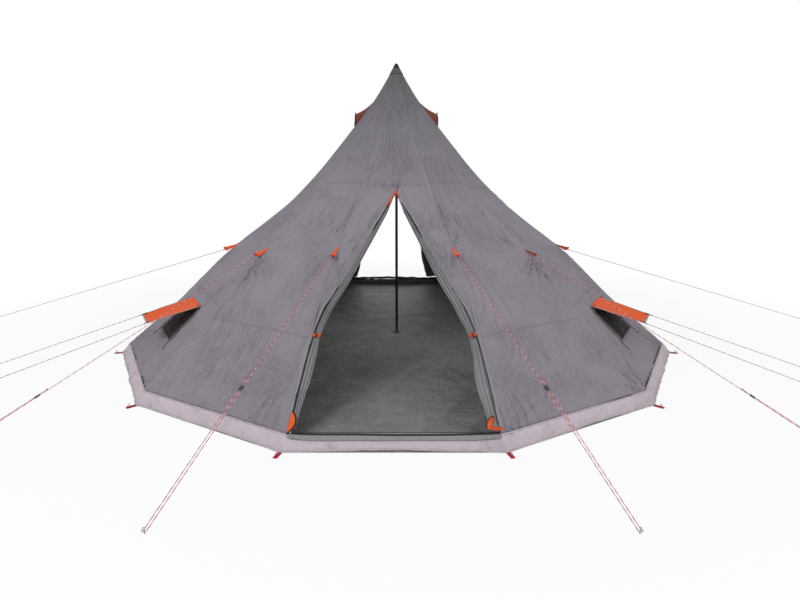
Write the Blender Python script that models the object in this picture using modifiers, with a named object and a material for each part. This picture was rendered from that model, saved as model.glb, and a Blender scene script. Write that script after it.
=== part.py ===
# Pyramid tent (tipi): twelve cloth gores on one centre pole, with a front and a rear door.
# Metres, +Z up. The origin is on the ground below the peak, and the front door faces -Y.
# Azimuths are measured from -Y towards +X, in degrees.

import math

import bmesh
import bpy
from mathutils import Matrix, Vector

TENT = "pyramid_tent"

# Overall form
CORNER_RADIUS = 2.40
PEAK_HEIGHT = 2.40
SIDES = 12
GORE_ANGLE = 360.0 / SIDES
FIRST_SEAM = GORE_ANGLE / 2.0
SEAM_SHARES = (
    (0.0120, 0.9820),
    (0.0400, 0.9350),
    (0.0790, 0.8750),
    (0.1580, 0.7770),
    (0.2150, 0.7080),
    (0.2750, 0.6375),
    (0.3330, 0.5760),
    (0.3920, 0.5190),
    (0.4850, 0.4470),
    (0.5750, 0.3812),
    (0.6460, 0.3230),
    (0.7160, 0.2560),
    (0.7875, 0.1875),
    (0.8750, 0.1140),
)
DOOR_SEAM_SPREAD = 3.2
SAG_SHARE = 0.030
SAG_FLOOR_SHARE = 0.25
GORE_COLUMNS = 4

# Cloth and clearances
CLOTH = 0.0025
SEAT = 0.0004
SEAM_GAP = 0.0004
OVERRUN = 0.05

# Skirt and groundsheet
SKIRT_TOP = 0.085
SKIRT_BOTTOM = 0.003
SKIRT_LEAN = 0.070
FLOOR_THICKNESS = 0.002
RIM_CLOTH = 0.0015
RIM_HEIGHT = 0.072
PATCH_RADIUS = 0.040
PATCH_HEIGHT = 0.006
LOOP_WIDTH = 0.022
LOOP_THICKNESS = 0.0022
LOOP_LIFT = 0.0003
LOOP_REACH = 0.060
LOOP_ROOT = 0.060
PEG_WIRE = 0.005
CORNER_PEG_HEIGHT = 0.026
CORNER_PEG_HOOK = 0.010
CORNER_PEG_INSET = 0.013

# Pole
POLE_RADIUS = 0.012
POLE_WALL = 0.0012
POLE_SECTIONS = 3
SPIGOT_LENGTH = 0.060
SPIGOT_CLEARANCE = 0.0003
POLE_FACETS = 20

# Peak cap
CAP_LENGTH = 0.046
CAP_WALL = 0.0035
CAP_CLEARANCE = 0.0009
CAP_ROOF = 0.014
CAP_NOSE_RADIUS = 0.014
CAP_NOSE_DROP = 0.006

# Doors
DOOR_DROP = 1.06
DOOR_TOP = PEAK_HEIGHT - DOOR_DROP
DOOR_SPREAD_SHARE = 0.64
DOOR_SEAM_MARGIN = 0.014
REAR_SILL = 0.125
FLAP_TOP_DROP = 0.090
FLAP_BOTTOM = 0.100
FLAP_REAR_BOTTOM = 0.132
FLAP_CLOTH = 0.004
FLAP_UPPER_ROWS = 8
FLAP_LOWER_ROWS = 5
FLAP_COLUMNS = 12
FLAP_PLEATS = 2.5
FLAP_DEPTH = 0.020
FLAP_TIE_HEIGHT = 0.494
FLAP_WIDTH = 0.092
FLAP_WIDTH_SHARES = ((1.00, 0.22), (0.80, 0.56), (0.55, 0.84), (0.342, 0.54), (0.20, 0.76), (0.0, 0.54))
FLAP_PINCH_SHARE = 0.5
FLAP_PINCH_SPREAD = 3.0
FLAP_TIE_INSET = 0.006

# Door tie-backs
TIE_BAND = 0.018
TIE_CLOTH = 0.0015
TIE_EASE = 0.0007

# Sill and its zip
SILL_HALF_LENGTH = 0.585
SILL_BOTTOM = 0.053
SILL_TOP = 0.088
SILL_CLOTH = 0.002
ZIP_BEAD_HEIGHT = 0.004
ZIP_BEAD_DEPTH = 0.004
SLIDER_LENGTH = 0.014
SLIDER_WALL = 0.0018
SLIDER_GAP = 0.0005
SLIDER_END_MARGIN = 0.004
PULL_LENGTH = 0.030
PULL_WIDTH = 0.007

# Windows and awnings, on the gores at WINDOW_AZIMUTH
WINDOW_AZIMUTH = 2.0 * GORE_ANGLE
WINDOW_SHIFT = 0.060
WINDOW_TOP = 0.480
WINDOW_BOTTOM = 0.270
WINDOW_TOP_HALF = 0.170
WINDOW_BOTTOM_HALF = 0.205
MESH_THICKNESS = 0.001
AWNING_HINGE_HEIGHT = 0.500
AWNING_LENGTH = 0.400
AWNING_WALL_HALF = 0.182
AWNING_OUTER_HALF = 0.150
AWNING_DROOP = 15.0
AWNING_SAG = 0.012
AWNING_ROWS = 6
AWNING_COLUMNS = 6

# Vent hoods near the peak, on the side gores
VENT_AZIMUTH = 3.0 * GORE_ANGLE
HOOD_DROP = 0.280
HOOD_LENGTH = 0.244
HOOD_TOP = PEAK_HEIGHT - HOOD_DROP
HOOD_MOUTH = HOOD_TOP - HOOD_LENGTH
HOOD_MOUTH_HALF = 0.084
HOOD_MOUTH_RISE = 0.108
HOOD_START_SHARE = 0.10
HOOD_CURVE = 1.25
HOOD_ROWS = 7
HOOD_COLUMNS = 10
VENT_DROP = 0.070
VENT_LENGTH = 0.145
VENT_TOP = HOOD_TOP - VENT_DROP
VENT_BOTTOM = VENT_TOP - VENT_LENGTH
VENT_HALF = 0.045

# Guy tabs: how many gores each seam stands from the front one, and how high the tab starts
TAB_GORES = {"front": 0.0, "middle": 1.0, "side": 2.0}
TAB_HEIGHT_SHARES = {"front": 0.4104, "middle": 0.3938, "side": 0.3771}
TAB_SLOPE_SHARE = 0.6
TAB_LENGTH = 0.125
TAB_HALF_WIDTH = 0.020
TAB_LIFT = 0.030
TAB_TIP_SHARE = 0.15
TAB_ROW_SHARES = (0.0, 0.35, 0.7, 1.0)

# Guy lines and their pegs; a peg is placed by its share of the corner radius and its azimuth
CORD = 0.004
CORD_PITCH = 0.016
CORD_HEIGHT = 0.016
PEG_SHARES = {
    "front": (1.3208, 19.2),
    "middle": (1.3250, 49.0),
    "side": (1.7500, 95.0),
    "awning_near": (1.4167, 62.0),
    "awning_far": (1.4167, 70.0),
}
GUY_PEG_HEIGHT = 0.034
GUY_PEG_HOOK = 0.014
RETURN_LENGTH = 0.070
RUNNER_SHARES = {"front": 0.3250, "middle": 0.1250}
RUNNER_TAIL = 0.050
RUNNER_LENGTH = 0.030
RUNNER_HALF_WIDTH = 0.0135
RUNNER_HALF_DEPTH = 0.0045
RUNNER_BORE = 0.0024
STRAND_POINTS = 10
RETURN_POINTS = 5
TURN_POINTS = 5

# Welding distances
CURVE_WELD = 0.00001
SCREW_WELD = 0.00002

# Colours: linear red, green and blue, roughness, metallic
COLOURS = {
    "canopy": (0.235, 0.216, 0.253, 0.80, 0.0),
    "skirt": (0.500, 0.440, 0.490, 0.80, 0.0),
    "floor": (0.085, 0.090, 0.085, 0.70, 0.0),
    "orange": (0.760, 0.130, 0.025, 0.75, 0.0),
    "black": (0.010, 0.010, 0.011, 0.50, 0.0),
    "mesh": (0.020, 0.014, 0.016, 0.90, 0.0),
    "steel": (0.016, 0.016, 0.017, 0.35, 0.6),
    "cord": (0.720, 0.080, 0.130, 0.75, 0.0),
    "peg": (0.450, 0.450, 0.460, 0.30, 1.0),
    "zip": (0.700, 0.700, 0.700, 0.35, 0.8),
}


def clear_scene():
    for item in list(bpy.data.objects):
        bpy.data.objects.remove(item, do_unlink=True)


def new_collection(name):
    made = bpy.data.collections.new(name)
    bpy.context.scene.collection.children.link(made)
    return made


clear_scene()
PARTS = new_collection(TENT)
CUTTERS = new_collection("cutters")
MATERIALS = {}


def material(key):
    if key not in MATERIALS:
        red, green, blue, roughness, metallic = COLOURS[key]
        made = bpy.data.materials.new(key)
        made.use_nodes = True
        shader = made.node_tree.nodes["Principled BSDF"]
        shader.inputs["Base Color"].default_value = (red, green, blue, 1.0)
        shader.inputs["Roughness"].default_value = roughness
        shader.inputs["Metallic"].default_value = metallic
        made.diffuse_color = (red, green, blue, 1.0)
        MATERIALS[key] = made
    return MATERIALS[key]


def add_part(name, data, key, matrix=None):
    data.materials.append(material(key))
    made = bpy.data.objects.new(name, data)
    PARTS.objects.link(made)
    if matrix is not None:
        made.matrix_world = matrix
    return made


def add_cutter(name, data, matrix=None):
    made = bpy.data.objects.new(name, data)
    CUTTERS.objects.link(made)
    made.hide_render = True
    made.display_type = "WIRE"
    if matrix is not None:
        made.matrix_world = matrix
    return made


def boolean(target, tool, operation):
    step = target.modifiers.new(operation.lower() + "_" + tool.name, "BOOLEAN")
    step.operation = operation
    step.solver = "EXACT"
    step.object = tool


# Shape helpers


def slab(name, face, back):
    """A closed sheet between two grids of points of the same size."""
    rows = len(face)
    columns = len(face[0])
    built = bmesh.new()
    grids = [[[built.verts.new(point) for point in row] for row in grid] for grid in (face, back)]
    front, rear = grids
    for row in range(rows - 1):
        for column in range(columns - 1):
            corners = [(row, column), (row, column + 1), (row + 1, column + 1), (row + 1, column)]
            if column >= (columns - 1) / 2.0:
                corners = corners[1:] + corners[:1]
            for triangle in (corners[:3], corners[2:] + corners[:1]):
                built.faces.new([front[i][j] for i, j in triangle])
                built.faces.new([rear[i][j] for i, j in reversed(triangle)])
    border = [(0, column) for column in range(columns)]
    border += [(row, columns - 1) for row in range(1, rows)]
    border += [(rows - 1, column) for column in range(columns - 2, -1, -1)]
    border += [(row, 0) for row in range(rows - 2, 0, -1)]
    for here, there in zip(border, border[1:] + border[:1]):
        edge = (front[here[0]][here[1]], rear[here[0]][here[1]])
        next_edge = (rear[there[0]][there[1]], front[there[0]][there[1]])
        built.faces.new(edge + next_edge)
    bmesh.ops.recalc_face_normals(built, faces=built.faces)
    return finished_mesh(name, built)


def finished_mesh(name, built):
    data = bpy.data.meshes.new(name)
    built.to_mesh(data)
    built.free()
    return data


def prism(name, outline, depth):
    """A flat outline in X and Y, extruded along Z by depth to each side."""
    built = bmesh.new()
    bottom = [built.verts.new((x, y, -depth)) for x, y in outline]
    base = built.faces.new(bottom)
    pushed = bmesh.ops.extrude_face_region(built, geom=[base])
    moved = [item for item in pushed["geom"] if isinstance(item, bmesh.types.BMVert)]
    bmesh.ops.translate(built, verts=moved, vec=(0.0, 0.0, depth + depth))
    bmesh.ops.recalc_face_normals(built, faces=built.faces)
    return finished_mesh(name, built)


def turned(name, profile, key, steps, smooth, start_angle=0.0, closed=True):
    """A profile of radius and height pairs turned about Z; it runs down its outer side."""
    built = bmesh.new()
    ring = [built.verts.new((radius, 0.0, height)) for radius, height in profile]
    pairs = list(zip(ring, ring[1:]))
    if closed:
        pairs.append((ring[-1], ring[0]))
    for first, second in pairs:
        built.edges.new((first, second))
    made = add_part(name, finished_mesh(name, built), key)
    made.rotation_euler = (0.0, 0.0, math.radians(start_angle))
    screw = made.modifiers.new("turn", "SCREW")
    screw.steps = steps
    screw.render_steps = steps
    screw.use_merge_vertices = True
    screw.merge_threshold = SCREW_WELD
    screw.use_smooth_shade = smooth
    return made


def poly_curve(name, points, thickness, resolution):
    curve = bpy.data.curves.new(name, "CURVE")
    curve.dimensions = "3D"
    curve.bevel_depth = thickness / 2.0
    curve.bevel_resolution = resolution
    curve.use_fill_caps = True
    spline = curve.splines.new("POLY")
    spline.points.add(len(points) - 1)
    for place, point in zip(spline.points, points):
        place.co = (point[0], point[1], point[2], 1.0)
    return curve


def curve_as_mesh(name, points, thickness, resolution):
    curve = poly_curve(name, points, thickness, resolution)
    holder = bpy.data.objects.new(name + "_curve", curve)
    CUTTERS.objects.link(holder)
    bpy.context.view_layer.update()
    seen = holder.evaluated_get(bpy.context.evaluated_depsgraph_get())
    data = bpy.data.meshes.new_from_object(seen)
    bpy.data.objects.remove(holder, do_unlink=True)
    built = bmesh.new()
    built.from_mesh(data)
    bmesh.ops.remove_doubles(built, verts=built.verts, dist=CURVE_WELD)
    bmesh.ops.recalc_face_normals(built, faces=built.faces)
    built.to_mesh(data)
    built.free()
    return data


def outline_curve(name, loops, half_length):
    """A flat outline, with any holes as further loops, extruded to each side."""
    curve = bpy.data.curves.new(name, "CURVE")
    curve.dimensions = "2D"
    curve.fill_mode = "BOTH"
    curve.extrude = half_length
    for loop in loops:
        spline = curve.splines.new("POLY")
        spline.points.add(len(loop) - 1)
        for place, point in zip(spline.points, loop):
            place.co = (point[0], point[1], 0.0, 1.0)
        spline.use_cyclic_u = True
    return curve


def circle(centre_x, centre_y, radius, count):
    step = 2.0 * math.pi / count
    return [
        (centre_x + radius * math.cos(step * i), centre_y + radius * math.sin(step * i))
        for i in range(count)
    ]


def stadium(half_width, half_depth, count):
    """An outline with round ends, longer along X."""
    reach = half_width - half_depth
    step = math.pi / count
    right = []
    for i in range(count + 1):
        turn = step * i - math.pi / 2.0
        right.append((reach + half_depth * math.cos(turn), half_depth * math.sin(turn)))
    return right + [(-x, -y) for x, y in right]


def interpolate(table, at):
    """Linear reading of a table of pairs that falls in its first value."""
    for (high, high_value), (low, low_value) in zip(table, table[1:]):
        if at >= low:
            share = (at - low) / (high - low)
            return low_value + share * (high_value - low_value)
    return table[-1][1]


# The tent's surface

SEAM_TABLE = [(height * PEAK_HEIGHT, radius * CORNER_RADIUS) for radius, height in SEAM_SHARES]
SKIRT_RADIUS = CORNER_RADIUS - SKIRT_LEAN
WALL_BOTTOM = SKIRT_TOP + SEAT
SEAM_TABLE.append((WALL_BOTTOM, SKIRT_RADIUS))
WALL_TOP = SEAM_TABLE[0][0]
UP = Vector((0.0, 0.0, 1.0))
HALF_GORE = math.radians(GORE_ANGLE / 2.0)
FLAT_SHARE = math.cos(HALF_GORE)


def direction(azimuth):
    turn = math.radians(azimuth)
    return Vector((math.sin(turn), -math.cos(turn), 0.0))


def lateral(azimuth):
    turn = math.radians(azimuth)
    return Vector((math.cos(turn), math.sin(turn), 0.0))


def seam_radius(height):
    return interpolate(SEAM_TABLE, height)


def height_share(height):
    return (height - WALL_BOTTOM) / (WALL_TOP - WALL_BOTTOM)


def seam_azimuth(nominal, height):
    """Door seams stand wider apart at mid height, so the door can open to them."""
    spread = DOOR_SEAM_SPREAD * math.sin(math.pi * min(max(height_share(height), 0.0), 1.0))
    folded = (nominal + 180.0) % 360.0 - 180.0
    sign = math.copysign(1.0, folded)
    if abs(abs(folded) - FIRST_SEAM) < 1.0:
        return nominal + sign * spread
    if abs(abs(folded) - (180.0 - FIRST_SEAM)) < 1.0:
        return nominal - sign * spread
    return nominal


def seam_point(nominal, height, inset=0.0):
    return direction(seam_azimuth(nominal, height)) * (seam_radius(height) - inset) + UP * height


def sag_at(height, width):
    share = height_share(height)
    if share <= SAG_FLOOR_SHARE:
        return 0.0
    rise = (share - SAG_FLOOR_SHARE) / (1.0 - SAG_FLOOR_SHARE)
    return SAG_SHARE * width * math.sin(math.pi * rise) ** 0.5 if rise < 1.0 else 0.0


def gore_row(start, end, height, inset, trim_start, trim_end):
    """Points across one gore at a height, drawn in between its seams."""
    radius = seam_radius(height) - inset
    first = seam_azimuth(start, height) + math.degrees(trim_start / radius)
    last = seam_azimuth(end, height) - math.degrees(trim_end / radius)
    left = direction(first) * radius
    right = direction(last) * radius
    inward = -direction((start + end) / 2.0)
    depth = sag_at(height, (right - left).length)
    row = []
    for column in range(GORE_COLUMNS + 1):
        share = column / GORE_COLUMNS
        dip = depth * 4.0 * share * (1.0 - share)
        row.append(left.lerp(right, share) + inward * dip + UP * height)
    return row


def wall_grid(seams, inset):
    grid = []
    for height, _ in SEAM_TABLE:
        row = []
        for index, (start, end) in enumerate(zip(seams, seams[1:])):
            trim_start = SEAM_GAP / 2.0 if index == 0 else 0.0
            trim_end = SEAM_GAP / 2.0 if index == len(seams) - 2 else 0.0
            points = gore_row(start, end, height, inset, trim_start, trim_end)
            row += points if index == 0 else points[1:]
        grid.append(row)
    return grid


def add_wall(name, seams):
    return add_part(name, slab(name, wall_grid(seams, 0.0), wall_grid(seams, CLOTH)), "canopy")


def row_distance(azimuth, across, height):
    """Distance outwards of a gore's outer side, read off one of its rows."""
    row = gore_row(azimuth - FIRST_SEAM, azimuth + FIRST_SEAM, height, 0.0, 0.0, 0.0)
    outward = direction(azimuth)
    sideways = lateral(azimuth)
    places = [(point.dot(sideways), point.dot(outward)) for point in row]
    for (start, near), (end, far) in zip(places, places[1:]):
        if across <= end:
            break
    share = min(max((across - start) / (end - start), 0.0), 1.0)
    return near + share * (far - near)


def wall_distance(azimuth, across, height):
    """Distance outwards of a gore's outer side at any place on it."""
    for (high, _), (low, _) in zip(SEAM_TABLE, SEAM_TABLE[1:]):
        if height >= low:
            break
    share = (height - low) / (high - low)
    above = row_distance(azimuth, across, high)
    below = row_distance(azimuth, across, low)
    return below + share * (above - below)


def panel_matrix(azimuth, height, distance):
    """Local X runs across the gore, local Y inwards and local Z up."""
    outward = direction(azimuth)
    place = outward * distance + UP * height
    return Matrix.Translation(place) @ axes_matrix(lateral(azimuth), -outward, UP)


def axes_matrix(first, second, third):
    """Three directions at right angles, right-handed, as a rotation."""
    return Matrix((first, second, third)).transposed().to_4x4()


# Door openings


def door_table():
    """Half widths of a door opening from its top down, at the heights of the seams' rows."""
    table = [(DOOR_TOP, 0.0)]
    for height, radius in SEAM_TABLE:
        if height < DOOR_TOP:
            seam = radius * math.sin(math.radians(seam_azimuth(FIRST_SEAM, height)))
            tapered = DOOR_SPREAD_SHARE * (DOOR_TOP - height)
            table.append((height, min(tapered, seam - DOOR_SEAM_MARGIN)))
    return table


DOOR_TABLE = door_table()


def door_half_width(height):
    return interpolate(DOOR_TABLE, height)


def door_outline(bottom):
    heights = [height for height, _ in DOOR_TABLE if bottom < height < DOOR_TOP]
    heights.append(bottom)
    right = [(door_half_width(height), height) for height in heights]
    left = [(-x, z) for x, z in reversed(right)]
    return [(0.0, DOOR_TOP)] + right + left


UPRIGHT = Matrix.Rotation(math.radians(90.0), 4, "X")


def cut_door(wall, label, azimuth, bottom):
    """The outline stands in the gore's own plane and is pushed through the wall."""
    place = Matrix.Rotation(math.radians(azimuth), 4, "Z")
    shift = Matrix.Translation(direction(0.0) * CORNER_RADIUS)
    tool = add_cutter(label, prism(label, door_outline(bottom), CORNER_RADIUS), place @ shift @ UPRIGHT)
    boolean(wall, tool, "DIFFERENCE")


def flap_rows(bottom):
    """Heights from the top down, with rows close above and below the tie-back."""
    top = DOOR_TOP - FLAP_TOP_DROP
    above = FLAP_TIE_HEIGHT + TIE_BAND
    below = FLAP_TIE_HEIGHT - TIE_BAND
    upper = [top + (above - top) * row / (FLAP_UPPER_ROWS - 1) for row in range(FLAP_UPPER_ROWS)]
    lower = [below + (bottom - below) * row / (FLAP_LOWER_ROWS - 1) for row in range(FLAP_LOWER_ROWS)]
    return upper + [FLAP_TIE_HEIGHT] + lower


def flap_section(height, bottom):
    """Outer edge, width, depth of the pleats and distance outwards of a gathered flap."""
    top = DOOR_TOP - FLAP_TOP_DROP
    share = (height - bottom) / (top - bottom)
    width = interpolate(FLAP_WIDTH_SHARES, share) * FLAP_WIDTH
    pinch = math.exp(-(((height - FLAP_TIE_HEIGHT) / (TIE_BAND * FLAP_PINCH_SPREAD)) ** 2))
    outer = door_half_width(height) - SEAT - SEAT - FLAP_TIE_INSET * pinch
    depth = FLAP_DEPTH * (1.0 - FLAP_PINCH_SHARE * pinch) * min(1.0, width / FLAP_DEPTH / 2.0)
    middle = wall_distance(0.0, outer, height) - CLOTH / 2.0
    return outer, width, depth, middle


def flap_grid(side, azimuth, bottom, offset):
    """Gathered cloth: pleats across the bundle, narrowed at the tie-back."""
    across = lateral(azimuth) * side
    outward = direction(azimuth)
    grid = []
    for height in flap_rows(bottom):
        outer, width, depth, middle = flap_section(height, bottom)
        row = []
        for column in range(FLAP_COLUMNS + 1):
            portion = column / FLAP_COLUMNS
            swing = depth * math.sin(2.0 * math.pi * FLAP_PLEATS * portion)
            place = across * (outer - width * portion) + outward * (middle + swing + offset)
            row.append(place + UP * height)
        grid.append(row)
    return grid


def add_flap(name, side, azimuth, bottom):
    face = flap_grid(side, azimuth, bottom, FLAP_CLOTH / 2.0)
    back = flap_grid(side, azimuth, bottom, -FLAP_CLOTH / 2.0)
    return add_part(name, slab(name, face, back), "canopy")


def flap_centre(side, height):
    outer, width, _, middle = flap_section(height, FLAP_BOTTOM)
    return Vector((side * (outer - width / 2.0), -middle, height))


def add_tie(name, side):
    """An orange band round the gathered flap, square to the way the flap hangs there."""
    _, width, depth, _ = flap_section(FLAP_TIE_HEIGHT, FLAP_BOTTOM)
    half_width = width / 2.0 + TIE_EASE
    half_depth = depth + FLAP_CLOTH / 2.0 + TIE_EASE
    loops = [
        rounded_box(half_width + TIE_CLOTH, half_depth + TIE_CLOTH, half_depth / 2.0),
        rounded_box(half_width, half_depth, half_depth / 2.0 - TIE_CLOTH),
    ]
    above = flap_centre(side, FLAP_TIE_HEIGHT + TIE_BAND)
    below = flap_centre(side, FLAP_TIE_HEIGHT - TIE_BAND)
    along = (above - below).normalized()
    inward = along.cross(lateral(0.0)).normalized()
    across = inward.cross(along)
    place = Matrix.Translation(flap_centre(side, FLAP_TIE_HEIGHT)) @ axes_matrix(across, inward, along)
    return add_part(name, outline_curve(name, loops, TIE_BAND / 2.0), "orange", place)


def rounded_box(half_x, half_y, radius, count=3):
    corners = ((1, 1), (-1, 1), (-1, -1), (1, -1))
    points = []
    for index, (sign_x, sign_y) in enumerate(corners):
        for step in range(count + 1):
            turn = math.pi / 2.0 * (index + step / count)
            x = sign_x * (half_x - radius) + radius * math.cos(turn)
            y = sign_y * (half_y - radius) + radius * math.sin(turn)
            points.append((x, y))
    return points


# Groundsheet and skirt


def add_skirt():
    top = (SKIRT_RADIUS, SKIRT_TOP)
    bottom = (CORNER_RADIUS, SKIRT_BOTTOM)
    profile = [top, bottom, (bottom[0] - CLOTH, bottom[1]), (top[0] - CLOTH, top[1])]
    return turned("skirt", profile, "skirt", SIDES, False, FIRST_SEAM - 90.0)


def skirt_radius(height):
    share = (height - SKIRT_BOTTOM) / (SKIRT_TOP - SKIRT_BOTTOM)
    return CORNER_RADIUS - SKIRT_LEAN * share


def rim_radius(height):
    return skirt_radius(height) - CLOTH - SEAT


def hook_points(radius, height, hook):
    """A wire post with its hook bent outwards and down, in radius and height."""
    bend = hook / 2.0
    points = [(radius, FLOOR_THICKNESS / 2.0), (radius, height / 2.0), (radius, height - bend)]
    for step in range(1, 6):
        turn = math.pi * step / 5.0
        points.append((radius + bend - bend * math.cos(turn), height - bend + bend * math.sin(turn)))
    points.append((radius + hook, height - bend - bend))
    return points


def add_groundsheet():
    edge = rim_radius(SKIRT_BOTTOM)
    rim = rim_radius(RIM_HEIGHT)
    profile = [
        (0.0, FLOOR_THICKNESS + PATCH_HEIGHT),
        (PATCH_RADIUS, FLOOR_THICKNESS + PATCH_HEIGHT),
        (PATCH_RADIUS + PATCH_HEIGHT / 2.0, FLOOR_THICKNESS),
        (edge - RIM_CLOTH - FLOOR_THICKNESS, FLOOR_THICKNESS),
        (rim - RIM_CLOTH, RIM_HEIGHT),
        (rim, RIM_HEIGHT),
        (edge, FLOOR_THICKNESS),
        (edge, 0.0),
        (0.0, 0.0),
    ]
    sheet = turned("groundsheet", profile, "floor", SIDES, False, FIRST_SEAM - 90.0, closed=False)
    for index in range(SIDES):
        azimuth = FIRST_SEAM + index * GORE_ANGLE
        outward = direction(azimuth)
        length = (LOOP_ROOT + LOOP_REACH) / 2.0
        centre = outward * (CORNER_RADIUS + LOOP_REACH - length)
        outline = stadium(length, LOOP_WIDTH / 2.0, 4)
        turn = Matrix.Rotation(math.radians(azimuth - 90.0), 4, "Z")
        lift = Matrix.Translation(centre + UP * (LOOP_LIFT + LOOP_THICKNESS / 2.0))
        label = "corner_loop_%02d" % index
        loop = add_cutter(label, prism(label, outline, LOOP_THICKNESS / 2.0), lift @ turn)
        boolean(sheet, loop, "UNION")
        radius = CORNER_RADIUS + LOOP_REACH - CORNER_PEG_INSET - CORNER_PEG_HOOK
        profile = hook_points(radius, CORNER_PEG_HEIGHT, CORNER_PEG_HOOK)
        points = [outward * r + UP * z for r, z in profile]
        label = "corner_peg_%02d" % index
        peg = add_cutter(label, curve_as_mesh(label, points, PEG_WIRE, 1))
        boolean(sheet, peg, "UNION")
    return sheet


# Pole and peak


def cap_inner_top():
    return PEAK_HEIGHT - CAP_ROOF


def add_pole():
    foot = FLOOR_THICKNESS + PATCH_HEIGHT + SEAT
    top = cap_inner_top() - SEAT
    length = (top - foot) / POLE_SECTIONS
    labels = ("lower", "middle", "upper")
    bore = POLE_RADIUS - POLE_WALL
    spigot = bore - SPIGOT_CLEARANCE
    for index, label in enumerate(labels):
        low = foot + length * index
        high = foot + length * (index + 1)
        profile = []
        if index < POLE_SECTIONS - 1:
            shoulder = high - SEAT
            tip = high + SPIGOT_LENGTH
            profile += [(spigot - POLE_WALL, tip), (spigot, tip)]
            profile += [(spigot, shoulder), (POLE_RADIUS, shoulder)]
            profile += [(POLE_RADIUS, low), (bore, low), (bore, shoulder - SPIGOT_LENGTH / 2.0)]
            profile += [(spigot - POLE_WALL, shoulder)]
        else:
            profile += [(bore, high), (POLE_RADIUS, high), (POLE_RADIUS, low), (bore, low)]
        turned("pole_" + label, profile, "steel", POLE_FACETS, True)


def add_cap():
    rim_height = WALL_TOP - CAP_LENGTH
    seat_top = seam_radius(WALL_TOP) + CAP_CLEARANCE
    seat_rim = seam_radius(rim_height) + CAP_CLEARANCE
    profile = [
        (0.0, PEAK_HEIGHT),
        (CAP_NOSE_RADIUS, PEAK_HEIGHT - CAP_NOSE_DROP),
        (seat_top + CAP_WALL, WALL_TOP),
        (seat_rim + CAP_WALL, rim_height),
        (seat_rim, rim_height),
        (seat_top, WALL_TOP),
        (CAP_NOSE_RADIUS, cap_inner_top()),
        (0.0, cap_inner_top()),
    ]
    return turned("peak_cap", profile, "black", SIDES, False, FIRST_SEAM - 90.0, closed=False)


# Sill and zip slider


def sill_distance(height):
    return skirt_radius(height) * FLAT_SHARE + SEAT


def add_sill():
    """A cloth band over the skirt's top edge, with the zip along its upper side."""
    low = sill_distance(SILL_BOTTOM)
    high = sill_distance(SILL_TOP)
    outline = [
        (low, SILL_BOTTOM),
        (low + SILL_CLOTH, SILL_BOTTOM),
        (high + SILL_CLOTH, SILL_TOP),
        (high + ZIP_BEAD_DEPTH, SILL_TOP),
        (high + ZIP_BEAD_DEPTH, SILL_TOP + ZIP_BEAD_HEIGHT),
        (high, SILL_TOP + ZIP_BEAD_HEIGHT),
        (high, SILL_TOP),
    ]
    place = axes_matrix(direction(0.0), UP, -lateral(0.0))
    data = prism("sill_zip", outline, SILL_HALF_LENGTH)
    return add_part("sill_zip", data, "canopy", place)


def add_slider():
    """A saddle over the zip's bead with a pull that lies along the band."""
    high = sill_distance(SILL_TOP)
    back = high - SLIDER_GAP
    front = high + ZIP_BEAD_DEPTH + SLIDER_GAP
    crown = SILL_TOP + ZIP_BEAD_HEIGHT + SLIDER_GAP
    foot = SILL_TOP + SLIDER_GAP
    lean = (sill_distance(SILL_BOTTOM) - high) / (SILL_TOP - SILL_BOTTOM)
    tip = front + lean * PULL_LENGTH
    outline = [
        (back - SLIDER_WALL, crown + SLIDER_WALL),
        (back - SLIDER_WALL, crown - ZIP_BEAD_HEIGHT / 2.0),
        (back, crown - ZIP_BEAD_HEIGHT / 2.0),
        (back, crown),
        (front, crown),
        (front, foot),
        (tip, foot - PULL_LENGTH),
        (tip + SLIDER_WALL, foot - PULL_LENGTH),
        (front + SLIDER_WALL, foot),
        (front + SLIDER_WALL, crown + SLIDER_WALL),
    ]
    start = -SILL_HALF_LENGTH + SLIDER_END_MARGIN + SLIDER_LENGTH / 2.0
    place = Matrix.Translation((start, 0.0, 0.0)) @ axes_matrix(direction(0.0), UP, -lateral(0.0))
    return add_part("zip_slider", prism("zip_slider", outline, SLIDER_LENGTH / 2.0), "zip", place)


# Windows, awnings and vents


def window_outline(side, ease):
    """Corners across and up the gore, shifted towards the rear of the tent."""
    shift = WINDOW_SHIFT * side
    top = WINDOW_TOP - ease
    bottom = WINDOW_BOTTOM + ease
    return [
        (shift - WINDOW_TOP_HALF + ease, top),
        (shift + WINDOW_TOP_HALF - ease, top),
        (shift + WINDOW_BOTTOM_HALF - ease, bottom),
        (shift - WINDOW_BOTTOM_HALF + ease, bottom),
    ]


def panel_prism(label, azimuth, outline):
    place = Matrix.Rotation(math.radians(azimuth), 4, "Z")
    shift = Matrix.Translation(direction(0.0) * CORNER_RADIUS)
    return add_cutter(label, prism(label, outline, CORNER_RADIUS), place @ shift @ UPRIGHT)


def cut_window(wall, side, name):
    azimuth = side * WINDOW_AZIMUTH
    boolean(wall, panel_prism("window_hole_" + name, azimuth, window_outline(side, 0.0)), "DIFFERENCE")
    start = azimuth - GORE_ANGLE / 2.0
    seams = (start, start + GORE_ANGLE)
    inset = (CLOTH - MESH_THICKNESS) / 2.0
    face = wall_grid(seams, inset)
    back = wall_grid(seams, inset + MESH_THICKNESS)
    label = "window_mesh_" + name
    mesh = add_part(label, slab(label, face, back), "mesh")
    boolean(mesh, panel_prism("window_edge_" + name, azimuth, window_outline(side, SEAT)), "INTERSECT")


def awning_axes():
    """Direction from the hinge to the outer edge and the direction out of the upper side."""
    droop = math.radians(AWNING_DROOP)
    along = Vector((0.0, -math.cos(droop), -math.sin(droop)))
    normal = Vector((0.0, -math.sin(droop), math.cos(droop)))
    return along, normal


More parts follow.
